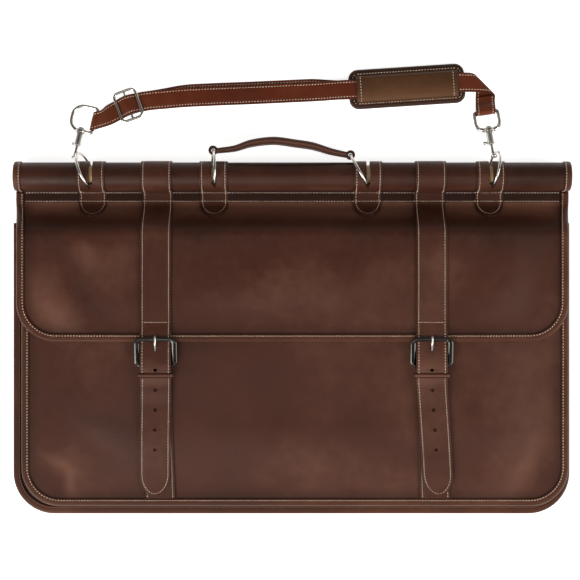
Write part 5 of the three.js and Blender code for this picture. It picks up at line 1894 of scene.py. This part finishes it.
@dataclass
class ShoulderStrap:
    """The long strap doubled back through its slide, folded by its right hook, with a pad on it."""

    half: float = 11
    row_inset: float = 2.9
    leather: float = 1.8
    eye_room: float = 0.51
    floor_mid: float = 1.0
    run_mid: float = 3.15
    pad_mid: float = 10.5
    tail_pad_mid: float = 8.3
    slide_x: float = -185.4
    slide_half: float = 16.8
    slide_reach: float = 12.6
    slide_bar: float = 1.2
    slide_wire: float = 1.7
    slide_z: float = 5.6
    tail_end: float = 82
    tail_shift: float = 4
    fold: tuple[float, float, float] = (214.0, 235.5, 3.4)
    fold_ease: int = 40
    return_end: float = 220
    route: tuple[tuple[float, float], ...] = (
        (-185.4, 210), (-136, 217.6), (-92.6, 220.2), (-47, 222), (9.7, 224.6), (66.5, 227.2), (131, 230.9),
        (176, 234.9), (196, 235.5), (218.5, 235.5))
    pad: tuple[float, float, float] = (131, 231.3, 3.7)
    pad_size: tuple[float, float, float] = (132, 45, 11)
    cover_length: float = 115
    cover_leather: float = 1.5
    stitch: Stitching = field(default_factory=lambda: Stitching("stitches_shoulder"))

    def build(self) -> None:
        """Makes and dresses the strap, its slide and its pad."""
        self.strap()
        self.slide()
        self.cushion()
        self.cover()
        self.stitch.build()

    @property
    def left_bar(self) -> Array:
        """Middle of the left eye's leg that the strap goes round."""
        hook = HOOKS[0]
        return np.array(hook.origin) + hook.across() * hook.eye_half + np.array(hook.axis) * hook.eye_legs / 2

    @property
    def eye_wrap(self) -> float:
        """Radius of the strap's middle round an eye."""
        return HOOKS[0].eye_wire + self.eye_room + self.leather / 2

    @property
    def slide_edge(self) -> float:
        """Where the strap has come down from the eye, before the slide."""
        return self.slide_x - self.slide_reach - 2

    def route_y(self, x: Array) -> Array:
        """The strap's middle in plan."""
        bar = self.left_bar
        return through(*zip((bar[0] - 8, bar[1] - 3), (bar[0], bar[1]), *self.route), x)

    def route_across(self, x: Array) -> Array:
        """Direction across the strap in plan."""
        return unit(columns(self.route_y(x - 0.5) - self.route_y(x + 0.5), 1.0, 0.0))

    def from_eye(self, x: Array) -> Array:
        """How far the strap has come from the eye towards the slide, from 0 to 1."""
        return smooth(x, self.left_bar[0], self.slide_edge)

    def run_height(self, x: Array) -> Array:
        """Height of the long run: over the slide's bar, on the tail, up into the pad and to the fold.

        Args:
            x: Places along it.

        Returns:
            Heights of its middle.
        """
        over = self.slide_z + self.slide_bar + FORM.gap + self.leather / 2
        hump = (over - self.run_mid) * (1 - smooth(np.abs(x - self.slide_x), 1.5, self.slide_reach - 2.5))
        to_eye = (self.left_bar[2] + self.eye_wrap - self.run_mid) * (1 - self.from_eye(x))
        to_pad = (self.pad_mid - self.run_mid) * smooth(x, 22, 60)
        top = self.floor_mid + 2 * self.fold[2]
        return self.run_mid + hump + to_eye + to_pad - (self.pad_mid - top) * smooth(x, 188, 203)

    def tail_height(self, x: Array) -> Array:
        """Height of the doubled tail under the long run.

        Args:
            x: Places along it.

        Returns:
            Heights there.
        """
        to_pad = (self.tail_pad_mid - self.floor_mid) * smooth(x, 24, 60)
        to_eye = (self.left_bar[2] - self.eye_wrap - self.floor_mid) * (1 - self.from_eye(x))
        return self.floor_mid + to_pad + to_eye

    def laid(self, xs: Array, heights: Array, shift: Array | float) -> tuple[Array, Array]:
        """The strap where it lies along its route.

        Args:
            xs: Places along it.
            heights: Heights of its middle there.
            shift: How far it lies to one side of the route.

        Returns:
            Places and directions across it.
        """
        across = self.route_across(xs)
        at = columns(xs, self.route_y(xs), 0.0) + across * np.broadcast_to(shift, xs.shape)[:, None]
        at[:, 2] = heights
        level = smooth(xs, self.left_bar[0] + 2, self.slide_edge)[:, None]
        return at, unit(mix(-np.array(HOOKS[0].axis), across, level))

    def folded(self) -> tuple[Array, Array]:
        """The fold at the right, over and down at half a right angle.

        Returns:
            Places and directions across the strap.
        """
        x, y, radius = self.fold
        b = np.linspace(0, math.pi, 17)
        at = columns(x, y, self.floor_mid + 2 * radius - radius * (1 - np.cos(b)))
        at += (X_WAY - Y_WAY) / math.sqrt(2) * (radius * b)[:, None]
        at += (X_WAY + Y_WAY) / math.sqrt(2) * (radius * np.sin(b))[:, None]
        return at, np.tile(Y_WAY - X_WAY, (17, 1))

    def right_end(self) -> tuple[Array, Array]:
        """The end below the fold, round the right eye and back.

        Returns:
            Places and directions across the strap.
        """
        bx, by, bz = HOOKS[1].bar()
        wrap, floor = self.eye_wrap, self.floor_mid
        low = self.fold[1] - self.half - 5
        under = np.linspace(low, by, 14)
        under_z = through([by - 6, by, mix(low, by, 0.5), low, low + 4],
                          [bz - wrap, bz - wrap, mix(floor, bz - wrap, 0.55), floor, floor], under)
        rest = np.linspace(by, self.return_end, 12)
        falls = [mix(bz + wrap, floor + 2 * self.leather, s) for s in (0.15, 0.6, 1.0, 1.0)]
        rest_z = through([by - 1, by, by + 4, by + 8, self.return_end, self.return_end + 3],
                         [bz + wrap, bz + wrap, *falls], rest)
        rows = np.concatenate([columns(under, under_z), arc(-90, -270, 17, wrap, by, bz)[1:-1],
                               columns(rest, rest_z)])
        return columns(bx, *rows.T), np.tile(-HOOKS[1].across(), (len(rows), 1))

    def line(self) -> tuple[Array, Array]:
        """The strap's middle from its tail's end to its right end.

        Returns:
            Places and directions across it.
        """
        bar = self.left_bar
        tail_x = np.linspace(self.tail_end, bar[0], 190)
        shift = self.tail_shift * smooth(tail_x, -170, -110) * (1 - smooth(tail_x, 20, 60))
        c, s = arc(-90, -270, 17, self.eye_wrap)[1:-1].T
        turn = (bar + columns(c, 0.0, s), np.tile(-np.array(HOOKS[0].axis), (15, 1)))
        run_x = np.r_[np.linspace(bar[0], -165, 70), np.linspace(-165, 203, 200)[1:]]
        lengths = [self.laid(tail_x, self.tail_height(tail_x), shift), turn,
                   self.laid(run_x, self.run_height(run_x), 0.0), self.folded(), self.right_end()]
        at, across = (np.concatenate(parts) for parts in zip(*lengths))
        # Leather this thick doesn't crease at a fold, so the corner is eased over a few millimetres
        first = sum(len(part[0]) for part in lengths[:3]) - 8
        last = first + 8 + len(lengths[3][0]) + 9
        for line in (at, across):
            for _ in range(self.fold_ease):
                beside = line[first - 1:last - 1] + line[first + 1:last + 1]
                line[first:last] = (beside + 2 * line[first:last]) / 4
        return at, across

    def strap(self) -> None:
        """The strap itself, sewn along both edges on both faces."""
        at, across = self.line()
        up = unit(np.cross(np.gradient(at, axis=0), across))
        points, faces, edge = band(at, up, across, self.half, self.leather)
        pull_and_painted_light = np.repeat(0.10 * np.sin(at[:, 0] / 31 + 1.0), len(points) // len(at))
        obj = link_mesh("shoulder_strap_hide", points, faces, 0.7 * edge, pull_and_painted_light)
        dress(obj, SHOULDER, "root", "shoulder_strap")
        lift = self.leather / 2
        for side in (-1, 1):
            line = at + across * (side * (self.half - self.row_inset))
            self.stitch.row(line + up * (lift - 0.12), up)
            self.stitch.row(line - up * lift, -up)

    def slide(self) -> None:
        """The slide: a wire frame with a bar across its middle."""
        frame = wire_frame(self.slide_reach, self.slide_half, 5.6, 5.6, self.slide_wire)
        h = self.slide_half - 0.6
        bar = lathe([(1.5, -h), (1.5, -h + 1.2), (1.2, -h + 2.4), (1.2, 0), (1.2, h - 2.4), (1.5, h - 1.2),
                     (1.5, h)], 20)
        at = np.array([self.slide_x])
        across = self.route_across(at)[0]
        turn = Matrix.Rotation(math.atan2(across[1], across[0]) - math.pi / 2, 4, "Z")
        place = moved(self.slide_x, float(self.route_y(at)[0]), self.slide_z) @ turn
        obj = settle(joined([frame, bar]), place, "strap_slide_wire")
        dress(obj, NICKEL, "root", "strap_slide")

    def on_pad(self, points: Array) -> Array:
        """Moves points from the pad's own frame to the bag's.

        Args:
            points: The points.

        Returns:
            The points there.
        """
        x, y, deg = self.pad
        c, s = math.cos(math.radians(deg)), math.sin(math.radians(deg))
        return points @ np.array([[c, s, 0], [-s, c, 0], [0, 0, 1]]) + np.array([x, y, 0])

    def pad_ring(self, inset: float, z: float, steps: int = 12) -> Array:
        """An outline of the pad.

        Args:
            inset: How far it is set in.
            z: Its height.
            steps: Points in a corner.

        Returns:
            Its points, in the pad's own frame.
        """
        length, width, corner = self.pad_size
        half = max(width / 2 - inset, 0.15)
        turn = min(max(corner - inset, 0.14), half - 0.005)
        return columns(*rounded(length / 2 - inset, half, turn, steps)[0].T, z)

    def cushion(self) -> None:
        """The pad: two hides sewn round a foam core, its rim rolled and its border crowned."""
        profile = [(22.2, 0.25, 0.0), (14, 0.15, 0.0), (6, 0.05, 0.0), (2.6, 0.0, 0.0), (1.0, 0.5, 0.5),
                   (0.3, 1.5, 0.7), (0.0, 3.1, 0.8), (0.25, 4.9, 0.6), (1.0, 6.2, 0.3), (2.1, 6.95, 0.1),
                   (3.4, 7.15, 0.1), (4.4, 6.95, 0.5), (5.0, 6.75, 0.6), (5.6, 6.9, 0.4), (8, 7.0, 0.2),
                   (14, 7.0, 0.2), (22.2, 7.0, 0.2)]
        rings = np.stack([self.on_pad(self.pad_ring(inset, z)) for inset, z, _ in profile])
        edge = np.repeat([mark for _, _, mark in profile], rings.shape[1])
        obj = link_mesh("shoulder_cushion", *loft(rings), edge)
        dress(obj, PAD, "root", "shoulder_pad")
        ring = self.pad_ring(5.0, 6.75, 20)
        self.stitch.row(self.on_pad(np.vstack([ring, ring[:1]]) + [0, 0, 0.05]), Z_WAY)

    def cover(self) -> None:
        """The cover arched over the strap, sewn to the pad along both sides."""
        right = [(0, 12.85), (6, 12.75), (10.5, 12.45), (12.3, 11.7), (13.1, 10.5), (13.6, 9.2), (14.8, 8.25),
                 (16.2, 8.1), (17.7, 8.1)]
        rows = spline([(-y, z) for y, z in right[:0:-1]] + right, 61)
        normal = row_normals(rows[::-1])[::-1]
        xs = np.linspace(-self.cover_length / 2, self.cover_length / 2, 47)
        ease = 0.45 * np.clip((np.abs(xs) - 48) / 9.5, 0, 1) ** 2
        y = np.broadcast_to(rows[:, :1], (61, 47))
        at = columns(xs, y, rows[:, 1:] - ease[None, :] * np.clip((rows[:, 1:] - 8.1) / 4.7, 0, 1))
        up = columns(np.zeros((61, 47)), normal[:, :1], normal[:, 1:])
        up = np.where(up[30:31, :, 2:] < 0, -up, up)
        points, faces = shell(at, up, self.cover_leather)
        end = 0.5 * (1 - smooth(58 - np.abs(xs), 0.5, 3))
        edge = np.clip(np.broadcast_to(end, (61, 47)) + 0.3 * (np.abs(y) > 15), 0, 1)
        lit = 0.22 * np.exp(-((y + 9) / 6) ** 2) - 0.10 * smooth(y, -2, 12)
        marks = grid_marks(lit, edge, len(points))
        obj = link_mesh("pad_cover_hide", self.on_pad(points), faces, *marks)
        dress(obj, COVER, "root", "pad_cover")
        for row in (np.s_[2], np.s_[58], np.s_[8:53, 2], np.s_[8:53, 44]):
            self.stitch.row(self.on_pad(at[row] + up[row] * 0.7), up[row])


@dataclass
class Studio:
    """A white paper floor, soft light and a camera that looks straight down as the photograph's does."""

    eye: tuple[float, float, float] = (-1.7, 0.0, 2035.0)
    field_deg: float = 18.43

    def build(self) -> None:
        """Makes the floor, the lights and the camera."""
        clear_bench()
        bpy.ops.mesh.primitive_plane_add(size=9.0, location=(0, 0, 0))
        floor = bpy.context.object
        floor.name = "studio_floor"
        floor.data.materials.append(StudioPaper().material())
        self.light("key", (-1.1, -1.5, 1.45), (1.4, 1.1), 34.0)
        self.light("fill", (1.55, -0.6, 1.25), (1.3, 1.2), 18.0)
        self.light("sheen", (-0.1, -0.65, 2.4), (1.5, 0.7), 6.0)
        self.sky()
        bpy.context.scene.view_settings.view_transform = "Standard"
        self.camera()

    def sky(self) -> None:
        """A tent that is pale low down and dark overhead, where the camera looks in."""
        world = bpy.data.worlds.new("studio")
        world.use_nodes = True
        tree = world.node_tree
        tree.nodes.clear()
        look = add_node(tree, "TexCoord").outputs["Generated"]
        rise = add_node(tree, "SeparateXYZ", {"Vector": look}).outputs["Z"]
        ramp = add_node(tree, "ValToRGB", {"Fac": rise})
        stops = ramp.color_ramp.elements
        stops[0].position, stops[0].color = 0.45, (0.42, 0.417, 0.41, 1.0)
        stops[1].position, stops[1].color = 0.95, (0.02, 0.02, 0.021, 1.0)
        glow = add_node(tree, "Background", {"Color": ramp, "Strength": 1.0})
        add_node(tree, "OutputWorld", {"Surface": glow})
        bpy.context.scene.world = world

    def light(self, name: str, place: tuple[float, float, float], size: tuple[float, float],
              watts: float) -> None:
        """A soft box that faces the bag.

        Args:
            name: Its name.
            place: Its place, in metres.
            size: Its width and height, in metres.
            watts: Its power.
        """
        lamp = bpy.data.lights.new(name, "AREA")
        lamp.shape = "RECTANGLE"
        lamp.size, lamp.size_y = size
        lamp.energy = watts
        obj = bpy.data.objects.new(name, lamp)
        obj.location = place
        obj.rotation_euler = (Vector((0, 0, 0)) - Vector(place)).to_track_quat("-Z", "Y").to_euler()
        bpy.context.scene.collection.objects.link(obj)

    def camera(self) -> None:
        """The camera over the bag, with the beam at the top of its picture."""
        lens = bpy.data.cameras.new("photo")
        lens.sensor_width = 36.0
        lens.lens = 18.0 / math.tan(math.radians(self.field_deg / 2))
        obj = bpy.data.objects.new("photo", lens)
        obj.location = Vector(self.eye) * MM
        bpy.context.scene.collection.objects.link(obj)
        bpy.context.scene.camera = obj


def main() -> None:
    """Builds the bag over its frame, then the studio."""
    logging.basicConfig(level=logging.INFO, format="%(message)s")
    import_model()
    Body().build()
    FlapAndBeam().build()
    TabsAndRings().build()
    strap_rows = Stitching("stitches_straps")
    Closing("left", -151.5, -0.8, 1.8, strap_rows).build()
    Closing("right", 156.2, 3.9, 2.2, strap_rows).build()
    strap_rows.build()
    CarryHandle().build()
    for hook in HOOKS:
        hook.build()
    ShoulderStrap().build()
    Studio().build()


if __name__ == "__main__":
    main()
